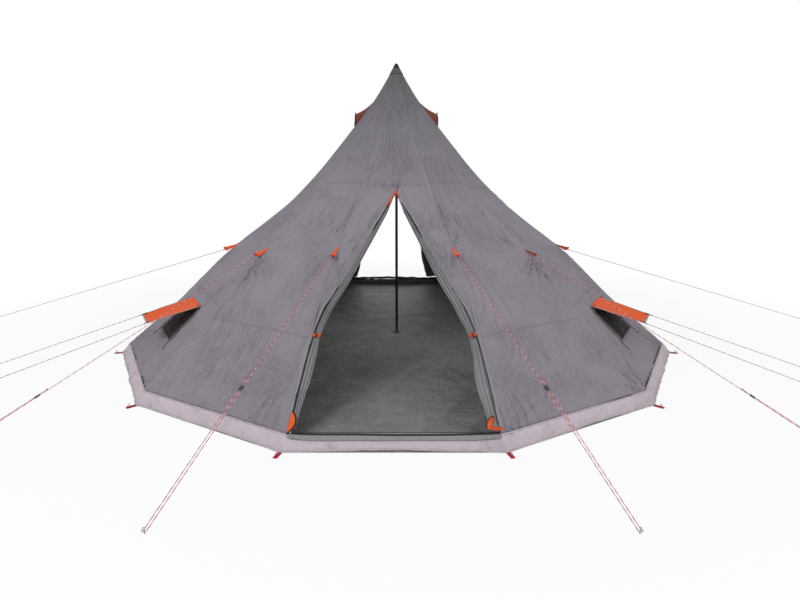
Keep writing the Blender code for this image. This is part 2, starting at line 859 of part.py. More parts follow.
def awning_grid(offset):
    """Hinged along local X, which runs across the gore."""
    along, normal = awning_axes()
    grid = []
    for row in range(AWNING_ROWS + 1):
        share = row / AWNING_ROWS
        half = AWNING_WALL_HALF + (AWNING_OUTER_HALF - AWNING_WALL_HALF) * share
        points = []
        for column in range(AWNING_COLUMNS + 1):
            portion = column / AWNING_COLUMNS
            dip = AWNING_SAG * 4.0 * portion * (1.0 - portion) * math.sin(math.pi * share / 2.0) ** 2
            place = Vector((half * (portion + portion - 1.0), 0.0, 0.0)) + along * (AWNING_LENGTH * share)
            points.append(place + normal * (offset + AWNING_SAG * share - dip * share))
        grid.append(points)
    return grid


def awning_hinge(side):
    azimuth = side * WINDOW_AZIMUTH
    seat = wall_distance(azimuth, 0.0, AWNING_HINGE_HEIGHT) + SEAT + SEAT
    place = panel_matrix(azimuth, AWNING_HINGE_HEIGHT, seat)
    return place @ Matrix.Translation((WINDOW_SHIFT * side, 0.0, 0.0))


def add_awning(side, name):
    label = "awning_" + name
    data = slab(label, awning_grid(CLOTH), awning_grid(0.0))
    return add_part(label, data, "orange", awning_hinge(side))


def hood_grid(side, offset):
    """A half cone on the wall that widens down to an upright mouth."""
    azimuth = side * VENT_AZIMUTH
    across = lateral(azimuth)
    outward = direction(azimuth)
    grid = []
    for row in range(HOOD_ROWS + 1):
        share = HOOD_START_SHARE + (1.0 - HOOD_START_SHARE) * row / HOOD_ROWS
        base = HOOD_TOP + (HOOD_MOUTH - HOOD_TOP) * share
        half = HOOD_MOUTH_HALF * share - offset
        rise = HOOD_MOUTH_RISE * share**HOOD_CURVE - offset
        points = []
        for column in range(HOOD_COLUMNS + 1):
            turn = math.pi * column / HOOD_COLUMNS
            aside = half * math.cos(turn)
            distance = wall_distance(azimuth, aside, base) + SEAT + SEAT
            place = across * aside + outward * distance
            points.append(place + Vector((0.0, 0.0, base + rise * math.sin(turn))))
        grid.append(points)
    return grid


def add_hood(side, name):
    label = "vent_hood_" + name
    return add_part(label, slab(label, hood_grid(side, 0.0), hood_grid(side, CLOTH)), "orange")


def cut_vent(wall, side, name):
    outline = [(0.0, VENT_TOP), (VENT_HALF, VENT_BOTTOM), (-VENT_HALF, VENT_BOTTOM)]
    boolean(wall, panel_prism("vent_hole_" + name, side * VENT_AZIMUTH, outline), "DIFFERENCE")


# Guy tabs, lines, runners and pegs


def tab_frame(side, key):
    """Upper end, outer end, sideways direction and lift direction of a tab."""
    seam = side * (FIRST_SEAM + GORE_ANGLE * TAB_GORES[key])
    height = PEAK_HEIGHT * TAB_HEIGHT_SHARES[key]
    upper = seam_point(seam, height)
    drop = TAB_LENGTH * TAB_SLOPE_SHARE
    lower = seam_point(seam, height - drop)
    along = (lower - upper).normalized()
    outward = direction(seam_azimuth(seam, height))
    sideways = outward.cross(UP)
    lift = sideways.cross(along)
    if lift.z < 0.0:
        lift = -lift
    return upper, along, sideways, lift


def tab_point(side, key, share, across, offset):
    upper, along, sideways, lift = tab_frame(side, key)
    half = TAB_HALF_WIDTH * (TAB_TIP_SHARE + (1.0 - TAB_TIP_SHARE) * share)
    fall = abs(across) * half * math.tan(HALF_GORE)
    rise = SEAT + SEAT + TAB_LIFT * share * share + offset - fall
    return upper + along * (TAB_LENGTH * share) + sideways * (across * half) + lift * rise


def tab_grid(side, key, offset):
    edges = (-1.0, 0.0, 1.0)
    return [[tab_point(side, key, share, across, offset) for across in edges] for share in TAB_ROW_SHARES]


def add_tab(side, key, name):
    label = "guy_tab_%s_%s" % (key, name)
    return add_part(label, slab(label, tab_grid(side, key, CLOTH), tab_grid(side, key, 0.0)), "orange")


def awning_corner(side, end):
    """Outer corner of an awning; end is -1 for the one nearer the front door."""
    along, normal = awning_axes()
    inset = CORD + CORD
    local = Vector((side * end * (AWNING_OUTER_HALF - inset), 0.0, 0.0)) + along * AWNING_LENGTH
    return awning_hinge(side) @ (local + normal * (AWNING_SAG + CLOTH / 2.0))


def peg_place(side, key):
    share, azimuth = PEG_SHARES[key]
    return direction(side * azimuth) * (CORNER_RADIUS * share)


def line_start(side, key):
    if key == "awning_near":
        return awning_corner(side, -1.0)
    if key == "awning_far":
        return awning_corner(side, 1.0)
    return tab_point(side, key, 1.0, 0.0, CLOTH / 2.0)


def end_direction(side, key):
    """Direction in which the cloth runs out to where the line leaves it."""
    if key in TAB_GORES:
        inner = tab_point(side, key, TAB_ROW_SHARES[-2], 0.0, 0.0)
        return (tab_point(side, key, 1.0, 0.0, 0.0) - inner).normalized()
    along, _ = awning_axes()
    return (awning_hinge(side).to_3x3() @ along).normalized()


def line_axes(side, key):
    """Start of the cord, its turning point, direction down the line and sideways."""
    attach = line_start(side, key)
    turning = peg_place(side, key) + UP * CORD_HEIGHT
    down = (turning - attach).normalized()
    sideways = down.cross(UP).normalized() * side
    slant = down.cross(end_direction(side, key)).length
    start = attach + down * (SEAT + (CORD + CLOTH) / 2.0 * slant)
    return start, turning, down, sideways


def line_route(side, key):
    """Down one strand, round the peg and back up the other, side by side."""
    start, peg, down, sideways = line_axes(side, key)
    half = CORD_PITCH / 2.0
    lower = peg + sideways * half
    points = [start.lerp(lower, step / (STRAND_POINTS - 1)) for step in range(STRAND_POINTS)]
    strand = (lower - start).normalized()
    for step in range(1, TURN_POINTS + 1):
        turn = math.pi * step / (TURN_POINTS + 1)
        points.append(peg + sideways * (half * math.cos(turn)) + down * (half * math.sin(turn)))
    back = RETURN_LENGTH
    if key in RUNNER_SHARES:
        back = RUNNER_SHARES[key] * CORNER_RADIUS + RUNNER_LENGTH + RUNNER_TAIL
    far = peg - sideways * half
    points += [far - strand * (back * step / (RETURN_POINTS - 1)) for step in range(RETURN_POINTS)]
    return points


def add_line(side, key, name):
    label = "guy_line_%s_%s" % (key, name)
    return add_part(label, poly_curve(label, line_route(side, key), CORD, 2), "cord")


def add_runner(side, key, name):
    """A flat runner with two bores, one for each strand."""
    start, peg, _, sideways = line_axes(side, key)
    lower = peg + sideways * (CORD_PITCH / 2.0)
    strand = (lower - start).normalized()
    across = (sideways - strand * sideways.dot(strand)).normalized()
    normal = strand.cross(across)
    loops = [stadium(RUNNER_HALF_WIDTH, RUNNER_HALF_DEPTH, 6)]
    loops += [circle(sign * CORD_PITCH / 2.0, 0.0, RUNNER_BORE, 12) for sign in (-1.0, 1.0)]
    centre = peg - strand * (RUNNER_SHARES[key] * CORNER_RADIUS + RUNNER_LENGTH / 2.0)
    label = "runner_%s_%s" % (key, name)
    curve = outline_curve(label, loops, RUNNER_LENGTH / 2.0)
    return add_part(label, curve, "black", Matrix.Translation(centre) @ axes_matrix(across, normal, strand))


def add_guy_peg(side, key, name):
    """A hooked wire peg in the cord's turn; only what stands above the ground is modelled."""
    _, turning, down, _ = line_axes(side, key)
    away = (down - UP * down.z).normalized()
    reach = CORD_PITCH / 2.0 * down.dot(away) - (CORD + PEG_WIRE) / 2.0 - SEAT
    place = turning - UP * CORD_HEIGHT + away * reach
    profile = hook_points(0.0, GUY_PEG_HEIGHT, GUY_PEG_HOOK)
    points = [place + away * r + UP * z for r, z in profile]
    label = "peg_%s_%s" % (key, name)
    return add_part(label, curve_as_mesh(label, points, PEG_WIRE, 2), "peg")


# Assembly


def build_walls():
    front = add_wall("front_wall", (-FIRST_SEAM, FIRST_SEAM))
    cut_door(front, "front_door_hole", 0.0, WALL_BOTTOM - OVERRUN)
    rear = add_wall("rear_wall", (180.0 - FIRST_SEAM, 180.0 + FIRST_SEAM))
    cut_door(rear, "rear_door_hole", 180.0, REAR_SILL)
    seams = [FIRST_SEAM + GORE_ANGLE * index for index in range(SIDES // 2)]
    for side, name in ((-1.0, "left"), (1.0, "right")):
        edges = [side * seam for seam in seams]
        add_wall("front_side_wall_" + name, sorted(edges[0:2]))
        window = add_wall("window_wall_" + name, sorted(edges[1:3]))
        cut_window(window, side, name)
        vent = add_wall("side_wall_" + name, sorted(edges[2:4]))
        cut_vent(vent, side, name)
        add_wall("rear_side_wall_" + name, sorted(edges[3:6]))


def build_sides():
    for side, name in ((-1.0, "left"), (1.0, "right")):
        add_hood(side, name)
        add_awning(side, name)
        add_flap("front_door_flap_" + name, side, 0.0, FLAP_BOTTOM)
        add_flap("rear_door_flap_" + name, -side, 180.0, FLAP_REAR_BOTTOM)
        add_tie("door_tie_" + name, side)
        for key in TAB_GORES:
            add_tab(side, key, name)
        for key in PEG_SHARES:
            add_line(side, key, name)
            add_guy_peg(side, key, name)
        for key in RUNNER_SHARES:
            add_runner(side, key, name)


add_groundsheet()
add_skirt()
add_pole()
add_cap()
build_walls()
add_sill()
add_slider()
build_sides()
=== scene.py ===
# Pyramid tent (tipi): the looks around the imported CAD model.
# Metres, +Z up; the front door faces -Y. Azimuths run from -Y towards +X, in degrees.

import math

import bmesh
import bpy
import numpy as np
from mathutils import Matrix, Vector


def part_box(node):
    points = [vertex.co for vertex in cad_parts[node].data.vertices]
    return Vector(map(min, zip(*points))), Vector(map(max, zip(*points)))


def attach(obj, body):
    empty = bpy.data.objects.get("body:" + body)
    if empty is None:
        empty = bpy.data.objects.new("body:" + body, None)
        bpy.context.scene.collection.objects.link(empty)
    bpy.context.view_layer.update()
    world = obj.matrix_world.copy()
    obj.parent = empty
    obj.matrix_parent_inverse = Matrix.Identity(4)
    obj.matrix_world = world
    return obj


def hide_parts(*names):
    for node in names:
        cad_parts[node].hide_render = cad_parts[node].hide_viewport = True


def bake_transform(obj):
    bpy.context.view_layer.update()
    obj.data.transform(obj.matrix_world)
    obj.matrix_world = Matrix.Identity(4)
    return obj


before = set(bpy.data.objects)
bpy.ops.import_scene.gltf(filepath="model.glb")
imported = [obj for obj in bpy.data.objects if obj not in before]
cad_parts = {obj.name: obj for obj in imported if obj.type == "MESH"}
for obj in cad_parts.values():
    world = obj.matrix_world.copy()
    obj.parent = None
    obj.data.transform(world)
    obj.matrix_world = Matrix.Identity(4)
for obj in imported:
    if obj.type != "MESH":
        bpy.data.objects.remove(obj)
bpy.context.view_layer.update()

# Overall form, repeated from the part's source

RADIUS = 2.40
PEAK = 2.40
SEAM_SHARES = (
    (0.0120, 0.9820),
    (0.0400, 0.9350),
    (0.0790, 0.8750),
    (0.1580, 0.7770),
    (0.2150, 0.7080),
    (0.2750, 0.6375),
    (0.3330, 0.5760),
    (0.3920, 0.5190),
    (0.4850, 0.4470),
    (0.5750, 0.3812),
    (0.6460, 0.3230),
    (0.7160, 0.2560),
    (0.7875, 0.1875),
    (0.8750, 0.1140),
)
DOOR_SEAM_SPREAD = 3.2
SAG_SHARE = 0.030
SAG_FLOOR_SHARE = 0.25
CLOTH = 0.0025
SEAT = 0.0004
SKIRT_TOP = 0.085
SKIRT_BOTTOM = 0.003
SKIRT_LEAN = 0.070
WALL_BOTTOM = SKIRT_TOP + SEAT
DOOR_TOP = 1.34
REAR_SILL = 0.125
TIE_HEIGHT = 0.494
TIE_BAND = 0.018
WINDOW_SHIFT = 0.060
WINDOW_TOP = 0.480
WINDOW_BOTTOM = 0.270
WINDOW_TOP_HALF = 0.170
WINDOW_BOTTOM_HALF = 0.205
HINGE_HEIGHT = 0.500
AWNING_LENGTH = 0.400
AWNING_WALL_HALF = 0.182
AWNING_OUTER_HALF = 0.150
AWNING_DROOP = math.radians(15.0)
AWNING_SAG = 0.012
HOOD_TOP = 2.12
HOOD_MOUTH = 1.876
HOOD_HALF = 0.084
HOOD_RISE = 0.108
HOOD_START = 0.10
HOOD_CURVE = 1.65
VENT_TOP = 2.05
VENT_BOTTOM = 1.905
VENT_HALF = 0.045
SILL_HALF = 0.585
SILL_BOTTOM = 0.053
SILL_TOP = 0.088
TAB_SEAMS = {"front": 15.0, "middle": 45.0, "side": 75.0}
TAB_HEIGHTS = {"front": 0.4104 * PEAK, "middle": 0.3938 * PEAK, "side": 0.3771 * PEAK}
TAB_LENGTH = 0.125
TAB_HALF = 0.020
TAB_LIFT = 0.030
TAB_TIP = 0.15
TAB_TWIST = {"front": 0.0, "middle": 50.0, "side": 68.0}
CORD = 0.004
CORD_PITCH = 0.016
CORD_HEIGHT = 0.016
PEGS = {
    "front": (1.3208, 19.2),
    "middle": (1.3250, 49.0),
    "side": (1.7500, 95.0),
    "awning_near": (1.4167, 62.0),
    "awning_far": (1.4167, 70.0),
}
RUNNERS = {"front": 0.3250, "middle": 0.1250}
RUNNER_LENGTH = 0.030
RUNNER_TAIL = 0.050
RETURN_LENGTH = 0.070
SIDES = (("left", -1.0), ("right", 1.0))
GORE_HALF_ANGLE = 15.0
DOOR_GORES = (0.0, 180.0)
WINDOW_GORE = 60.0
VENT_GORE = 90.0

# The camera, fitted to the tent's corners, peak and pole

CAMERA_PLACE = (0.032, -5.004, 1.481)
CAMERA_PITCH = 13.11
CAMERA_LENS = 24.46


def add_camera():
    data = bpy.data.cameras.new("camera")
    data.lens = CAMERA_LENS
    data.sensor_width = 36.0
    data.clip_start = 0.05
    data.clip_end = 100.0
    made = bpy.data.objects.new("camera", data)
    made.location = CAMERA_PLACE
    made.rotation_euler = (math.radians(90.0 - CAMERA_PITCH), 0.0, 0.0)
    bpy.context.scene.collection.objects.link(made)
    bpy.context.scene.camera = made


add_camera()

# Small tools


def direction(azimuth):
    turn = np.radians(azimuth)
    return np.stack([np.sin(turn), -np.cos(turn), np.zeros_like(turn)], -1)


def lateral(azimuth):
    turn = np.radians(azimuth)
    return np.stack([np.cos(turn), np.sin(turn), np.zeros_like(turn)], -1)


UP = np.array([0.0, 0.0, 1.0])


def unit(vector):
    vector = np.asarray(vector, float)
    return vector / np.maximum(np.linalg.norm(vector, axis=-1, keepdims=True), 1e-12)


def smooth_table(table):
    """A smooth reading of pairs, without overshoot (monotone cubic)."""
    pairs = sorted(table)
    x = np.array([p[0] for p in pairs])
    y = np.array([p[1] for p in pairs])
    step = np.diff(x)
    slope = np.diff(y) / step
    tangent = np.zeros_like(y)
    tangent[0], tangent[-1] = slope[0], slope[-1]
    same = slope[:-1] * slope[1:] > 0.0
    with np.errstate(divide="ignore", invalid="ignore"):
        mean = 2.0 / (1.0 / slope[:-1] + 1.0 / slope[1:])
    tangent[1:-1] = np.where(same, mean, 0.0)

    def read(at):
        at = np.clip(np.asarray(at, float), x[0], x[-1])
        i = np.clip(np.searchsorted(x, at, side="right") - 1, 0, len(x) - 2)
        t = (at - x[i]) / step[i]
        a = (1.0 + 2.0 * t) * (1.0 - t) ** 2
        b = t * (1.0 - t) ** 2
        c = t * t * (3.0 - 2.0 * t)
        d = t * t * (t - 1.0)
        return a * y[i] + b * step[i] * tangent[i] + c * y[i + 1] + d * step[i] * tangent[i + 1]

    return read


def noise(seed):
    """Smooth noise between -1 and 1 over a plane; it repeats after 64."""
    lattice = np.random.RandomState(seed).uniform(-1.0, 1.0, (64, 64))

    def read(u, v):
        u, v = np.broadcast_arrays(np.asarray(u, float), np.asarray(v, float))
        i, j = np.floor(u).astype(int), np.floor(v).astype(int)
        s, t = u - i, v - j
        s = s * s * s * (s * (6.0 * s - 15.0) + 10.0)
        t = t * t * t * (t * (6.0 * t - 15.0) + 10.0)
        i0, i1, j0, j1 = i % 64, (i + 1) % 64, j % 64, (j + 1) % 64
        near = lattice[i0, j0] * (1.0 - s) + lattice[i1, j0] * s
        far = lattice[i0, j1] * (1.0 - s) + lattice[i1, j1] * s
        return near * (1.0 - t) + far * t

    return read


def ridges(value, sharpness):
    return (1.0 - np.abs(value)) ** sharpness


def distances(path):
    """How far along a path each of its points is."""
    return np.concatenate([[0.0], np.cumsum(np.linalg.norm(np.diff(path, axis=0), axis=1))])


def paired(*parts):
    """Two or three values for each point of a grid."""
    return np.stack(np.broadcast_arrays(*parts), -1)


def add_mesh(name, points, faces, uvs, smooth=True):
    data = bpy.data.meshes.new(name)
    corners = [tuple(p) for p in np.asarray(points, float)]
    data.from_pydata(corners, [], [tuple(int(i) for i in f) for f in faces])
    layer = data.uv_layers.new(name="cloth")
    loops = np.zeros(len(data.loops), int)
    data.loops.foreach_get("vertex_index", loops)
    layer.data.foreach_set("uv", np.asarray(uvs, np.float32)[loops].ravel())
    data.polygons.foreach_set("use_smooth", [smooth] * len(data.polygons))
    made = bpy.data.objects.new(name, data)
    bpy.context.scene.collection.objects.link(made)
    return made


def weld(made, distance=0.00002):
    built = bmesh.new()
    built.from_mesh(made.data)
    bmesh.ops.remove_doubles(built, verts=built.verts, dist=distance)
    bmesh.ops.dissolve_degenerate(built, edges=built.edges, dist=distance / 2.0)
    built.to_mesh(made.data)
    built.free()
    return made


def grid_faces(rows, columns, first=0, keep=None, around=False, flip=False):
    faces = []
    for r in range(rows - 1):
        for c in range(columns if around else columns - 1):
            if keep is not None and not keep[r, c]:
                continue
            d = (c + 1) % columns
            face = (r * columns + c, r * columns + d, (r + 1) * columns + d, (r + 1) * columns + c)
            faces.append([first + i for i in (reversed(face) if flip else face)])
    return faces


def add_grid(name, points, uvs, around=False, flip=False):
    faces = grid_faces(*points.shape[:2], around=around, flip=flip)
    return add_mesh(name, points.reshape(-1, 3), faces, uvs.reshape(-1, 2))


def thicken(made, thickness, inner=0, offset=-1.0):
    """Gives a sheet its thickness; inner is the material index of its back."""
    step = made.modifiers.new("cloth", "SOLIDIFY")
    step.thickness = thickness
    step.offset = offset
    step.material_offset = inner
    step.use_even_offset = False
    return made


def paint(made, *materials):
    made.data.materials.clear()
    for item in materials:
        made.data.materials.append(item)
    return made


def settle(made, slot, body="tent", *nodes):
    """Rides on its body and stands for its CAD nodes; slot is not used."""
    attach(made, body)
    if nodes:
        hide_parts(*nodes)
        made.name = nodes[0] + "_visual"
    return made


def dress(made, looks, slot, body="tent", *nodes):
    """Paints a piece with its looks, named outside first, and settles it."""
    paint(made, *(LOOKS[name] for name in looks.split()))
    return settle(made, slot, body, *nodes)


def smooth_path(points, count):
    """A curve through points (Catmull-Rom)."""
    points = np.asarray(points, float)
    before, after = 2.0 * points[0] - points[1], 2.0 * points[-1] - points[-2]
    padded = np.concatenate([[before], points, [after]])
    at = np.linspace(0.0, len(points) - 1.0, count)
    i = np.minimum(at.astype(int), len(points) - 2)
    t = (at - i)[:, None]
    a, b, c, d = (padded[i + k] for k in range(4))
    bend = (2.0 * a - 5.0 * b + 4.0 * c - d) * t**2 + (3.0 * b - a - 3.0 * c + d) * t**3
    return 0.5 * (2.0 * b + (c - a) * t + bend)


def across_path(path, up=UP):
    """Two directions square to a path, at each of its points."""
    tangent = unit(np.gradient(path, axis=0))
    side = np.cross(tangent, up)
    weak = np.linalg.norm(side, axis=1) < 1e-4
    side[weak] = np.cross(tangent[weak], np.array([0.0, 1.0, 0.013]))
    side = unit(side)
    return side, unit(np.cross(side, tangent))


def tube_mesh(path, radius, count=10, capped=True, up=UP):
    """Points, faces and UVs of a round tube."""
    path = np.asarray(path, float)
    side, lift = across_path(path, up)
    turn = np.linspace(0.0, 2.0 * math.pi, count, endpoint=False)
    radii = np.broadcast_to(np.asarray(radius, float), (len(path),))
    c, s = np.cos(turn)[None, :, None], np.sin(turn)[None, :, None]
    points = path[:, None] + radii[:, None, None] * (c * side[:, None] + s * lift[:, None])
    points = points.reshape(-1, 3)
    faces = grid_faces(len(path), count, around=True, flip=True)
    uvs = paired(turn[None, :] / (2.0 * math.pi), distances(path)[:, None])
    if capped:
        faces.append(list(range(count)))
        faces.append(list(range(len(points) - 1, len(points) - 1 - count, -1)))
    return points, faces, uvs.reshape(-1, 2)


def add_tube(name, path, radius, count=10, **shape):
    points, faces, uvs = tube_mesh(path, radius, count, **shape)
    return add_mesh(name, points, faces, uvs)


def joined(name, pieces, smooth=True):
    """One mesh from several (points, faces, uvs)."""
    points, faces, uvs, first = [], [], [], 0
    for part_points, part_faces, part_uvs in pieces:
        points.append(np.asarray(part_points, float).reshape(-1, 3))
        faces += [[first + i for i in face] for face in part_faces]
        uvs.append(np.asarray(part_uvs, float).reshape(-1, 2))
        first += len(points[-1])
    return add_mesh(name, np.concatenate(points), faces, np.concatenate(uvs), smooth)


def box_mesh(centre, halves, bevel):
    """A small block; its eight corners are cut back by bevel."""
    points, faces = [], []
    index = {}
    for sign in np.ndindex(2, 2, 2):
        s = np.array(sign) * 2.0 - 1.0
        for axis in range(3):
            inset = np.full(3, bevel)
            inset[axis] = 0.0
            index[sign, axis] = len(points)
            points.append(centre + s * (np.asarray(halves) - inset))
    for axis in range(3):
        a, b = (axis + 1) % 3, (axis + 2) % 3
        for value in (0, 1):
            ring = []
            for p, q in LOOP:
                sign = [0, 0, 0]
                sign[axis], sign[a], sign[b] = value, p, q
                ring.append(index[tuple(sign), axis])
            faces.append(ring if value else ring[::-1])
        for p, q in LOOP:
            low, high = [0, 0, 0], [0, 0, 0]
            low[a], low[b], high[a], high[b] = p, q, p, q
            low[axis], high[axis] = 0, 1
            low, high = tuple(low), tuple(high)
            edge = [index[low, a], index[low, b], index[high, b], index[high, a]]
            faces.append(edge if (p == q) else edge[::-1])
    for sign in np.ndindex(2, 2, 2):
        tri = [index[sign, 0], index[sign, 1], index[sign, 2]]
        faces.append(tri if sum(sign) % 2 else tri[::-1])
    points = np.array(points)
    return points, faces, points[:, :2]


LOOP = ((0, 0), (1, 0), (1, 1), (0, 1))


def slab(top, back, uvs):
    """A strip with two faces, closed round its edge."""
    rows, columns = top.shape[:2]
    count = rows * columns
    faces = grid_faces(rows, columns) + grid_faces(rows, columns, count, flip=True)
    edges = []
    for r in range(rows - 1):
        a, b = r * columns, (r + 1) * columns
        edges += [(b, a), (a + columns - 1, b + columns - 1)]
    for c in range(columns - 1):
        last = count - columns + c
        edges += [(c, c + 1), (last + 1, last)]
    faces += [[a, b, count + b, count + a] for a, b in edges]
    points = np.concatenate([top.reshape(-1, 3), back.reshape(-1, 3)])
    return points, faces, np.concatenate([uvs.reshape(-1, 2)] * 2)


def ribbon(centre, widths, axis, thick=0.0011):
    """A strip along a path; axis is the direction of its width."""
    centre = np.asarray(centre, float)
    tangent = unit(np.gradient(centre, axis=0))
    wide = np.broadcast_to(np.asarray(axis, float), centre.shape)
    wide = unit(wide - tangent * (wide * tangent).sum(1)[:, None])
    normal = unit(np.cross(wide, tangent))
    widths = np.broadcast_to(np.asarray(widths, float), (len(centre),))
    u = np.array([-1.0, -0.5, 0.0, 0.5, 1.0])
    face = centre[:, None] + wide[:, None] * (u[None, :] * widths[:, None])[..., None]
    top, back = face + normal[:, None] * thick / 2.0, face - normal[:, None] * thick / 2.0
    return slab(top, back, paired(u[None, :] * 0.009, distances(centre)[:, None]))


def tape_mesh(path, outward, offsets, half, crown, v=None, flip=True):
    """A crowned strip that lies on a surface along a path; offsets are shares of its half width."""
    cross = unit(np.cross(unit(np.gradient(path, axis=0)), outward))
    u = np.array(offsets) * half
    sheet = path[:, None] + cross[:, None] * u[None, :, None]
    sheet = sheet + outward * np.array(crown)[None, :, None]
    uvs = paired(u[None, :], (distances(path) if v is None else v)[:, None])
    return sheet.reshape(-1, 3), grid_faces(len(path), len(u), flip=flip), uvs.reshape(-1, 2)


# The tent's surface

SKIRT_RADIUS = RADIUS - SKIRT_LEAN
SEAMS = [(height * PEAK, radius * RADIUS) for radius, height in SEAM_SHARES]
SEAMS.append((WALL_BOTTOM, SKIRT_RADIUS))
WALL_TOP = SEAMS[0][0]
seam_radius = smooth_table(SEAMS)
HALF_GORE = math.radians(GORE_HALF_ANGLE)


def wrapped(azimuth):
    """The same azimuth above -180 and up to 180 degrees."""
    azimuth = (azimuth + 180.0) % 360.0 - 180.0
    return 180.0 if azimuth == -180.0 else azimuth


def height_share(height):
    return (height - WALL_BOTTOM) / (WALL_TOP - WALL_BOTTOM)


def seam_azimuth(nominal, height):
    """A seam's azimuth; the doors' seams spread at mid height."""
    spread = DOOR_SEAM_SPREAD * np.sin(math.pi * np.clip(height_share(height), 0.0, 1.0))
    folded = wrapped(nominal)
    sign = math.copysign(1.0, folded)
    if abs(abs(folded) - GORE_HALF_ANGLE) < 1.0:
        return nominal + sign * spread
    if abs(abs(folded) - (180.0 - GORE_HALF_ANGLE)) < 1.0:
        return nominal - sign * spread
    return nominal + 0.0 * spread


SLOPE_HEIGHTS = np.linspace(WALL_BOTTOM, WALL_TOP, 400)
SLOPE_LENGTHS = np.concatenate(
    [[0.0], np.cumsum(np.hypot(np.diff(SLOPE_HEIGHTS), np.diff(seam_radius(SLOPE_HEIGHTS))))]
)


def slope_length(height):
    """Distance up the seam from the skirt's top edge."""
    return np.interp(height, SLOPE_HEIGHTS, SLOPE_LENGTHS)


def gore_base(middle, share, height):
    """A point of the gore at a share of the way between its two seams."""
    radius = seam_radius(height)
    left = direction(seam_azimuth(middle - GORE_HALF_ANGLE, height)) * radius[..., None]
    right = direction(seam_azimuth(middle + GORE_HALF_ANGLE, height)) * radius[..., None]
    width = np.linalg.norm(right - left, axis=-1)
    rise = np.clip((height_share(height) - SAG_FLOOR_SHARE) / (1.0 - SAG_FLOOR_SHARE), 0.0, 1.0)
    hollow = np.sqrt(np.clip(np.sin(math.pi * rise), 0.0, 1.0)) * 4.0 * share * (1.0 - share)
    inward = direction(np.full_like(height, middle)) * (SAG_SHARE * width * hollow)[..., None]
    place = left + (right - left) * share[..., None] - inward
    place[..., 2] += height
    return place, width


def share_at(middle, across, height):
    """The share of the way across a gore at a distance from its middle line."""
    left, right = (
        seam_radius(height) * np.sin(np.radians(seam_azimuth(middle + turn, height) - middle))
        for turn in (-GORE_HALF_ANGLE, GORE_HALF_ANGLE)
    )
    return (across - left) / (right - left)


def door_half(height):
    return DOOR_LINE(height)


def door_line():
    table = [(DOOR_TOP, 0.0)]
    for height, radius in SEAMS:
        if height < DOOR_TOP:
            turn = math.radians(float(seam_azimuth(GORE_HALF_ANGLE, height)))
            seam = radius * math.sin(turn)
            table.append((height, min(0.64 * (DOOR_TOP - height), seam - 0.014)))
    return smooth_table(table)


DOOR_LINE = door_line()

# Wrinkles: where the cloth is pulled, how far it folds and how many folds fan out

BROAD = noise(11)
FINE = noise(12)
LONG = noise(13)
PATCH = noise(14)
CRUSH = noise(15)


def fold(value, sharpness=2.2):
    """A rounded ridge with wide valleys beside it, about level on the whole."""
    return 2.0 * ridges(value, sharpness) - 0.9


def patches(u, v, seed):
    """Where the cloth is folded at all: 0 in its smooth stretches and 1 in its worst."""
    return np.clip(0.5 + 1.1 * PATCH(u * 2.1 + seed, v * 1.3 - seed), 0.0, 1.0)


def fan(over, rise, reach, count, seed, near=0.08):
    """Folds that run out from a point where the cloth is pulled."""
    far = np.hypot(over, rise)
    angle = np.arctan2(rise, over)
    wander = 0.10 * FINE(angle * 3.0 + seed, far * 4.0) + 0.05 * FINE(angle * 9.0, far * 9.0 + seed)
    wave = fold(np.sin((angle + wander) * count / 2.0), 1.6)
    near = np.minimum(far / near, 1.0) * np.minimum(far * 14.0 / count / 0.045, 1.0)
    uneven = np.clip(0.45 + 0.9 * BROAD(angle * 4.0 + seed, 3.0 + far), 0.0, 1.2)
    return np.exp(-far / reach) * near * wave * uneven


def bundle(across, up, place, aim, width, length, count, seed):
    """A bundle of folds side by side: place and aim are (across, up) on the gore."""
    aim = np.array(aim) / math.hypot(*aim)
    over, rise = across - place[0], up - place[1]
    along = over * aim[0] + rise * aim[1]
    beside = over * aim[1] - rise * aim[0]
    beside = beside * (1.0 + 0.8 * along / length) + 0.010 * FINE(along * 7.0 + seed, beside * 6.0)
    held = np.exp(-((beside / width) ** 4)) * np.exp(-((along / length) ** 4))
    return held * fold(np.sin(math.pi * count * beside / (2.0 * width) + seed), 1.5)


# Folds on the gore beside the door: depth, the tab that they start from and its side, place,
# aim, half width, half length, number and phase
BUNDLES = (
    (0.0110, "front", -1.0, (0.085, 0.28), (0.16, 1.0), 0.085, 0.27, 5.0, 0.4),
    (0.0190, "middle", 1.0, (-0.030, -0.20), (0.45, 1.0), 0.085, 0.16, 5.0, 1.0),
    (0.0170, "", 0.0, (-0.34, 0.20), (-0.55, 1.0), 0.17, 0.22, 6.0, 2.0),
    (0.0080, "", 0.0, (-0.10, 0.52), (-0.12, 1.0), 0.20, 0.17, 7.0, 3.0),
    (0.0085, "", 0.0, (-0.20, 1.05), (-0.20, 1.0), 0.13, 0.35, 5.0, 0.0),
)
TAB_FOLDS = 0.0150
WINDOW_FOLDS = 0.0120


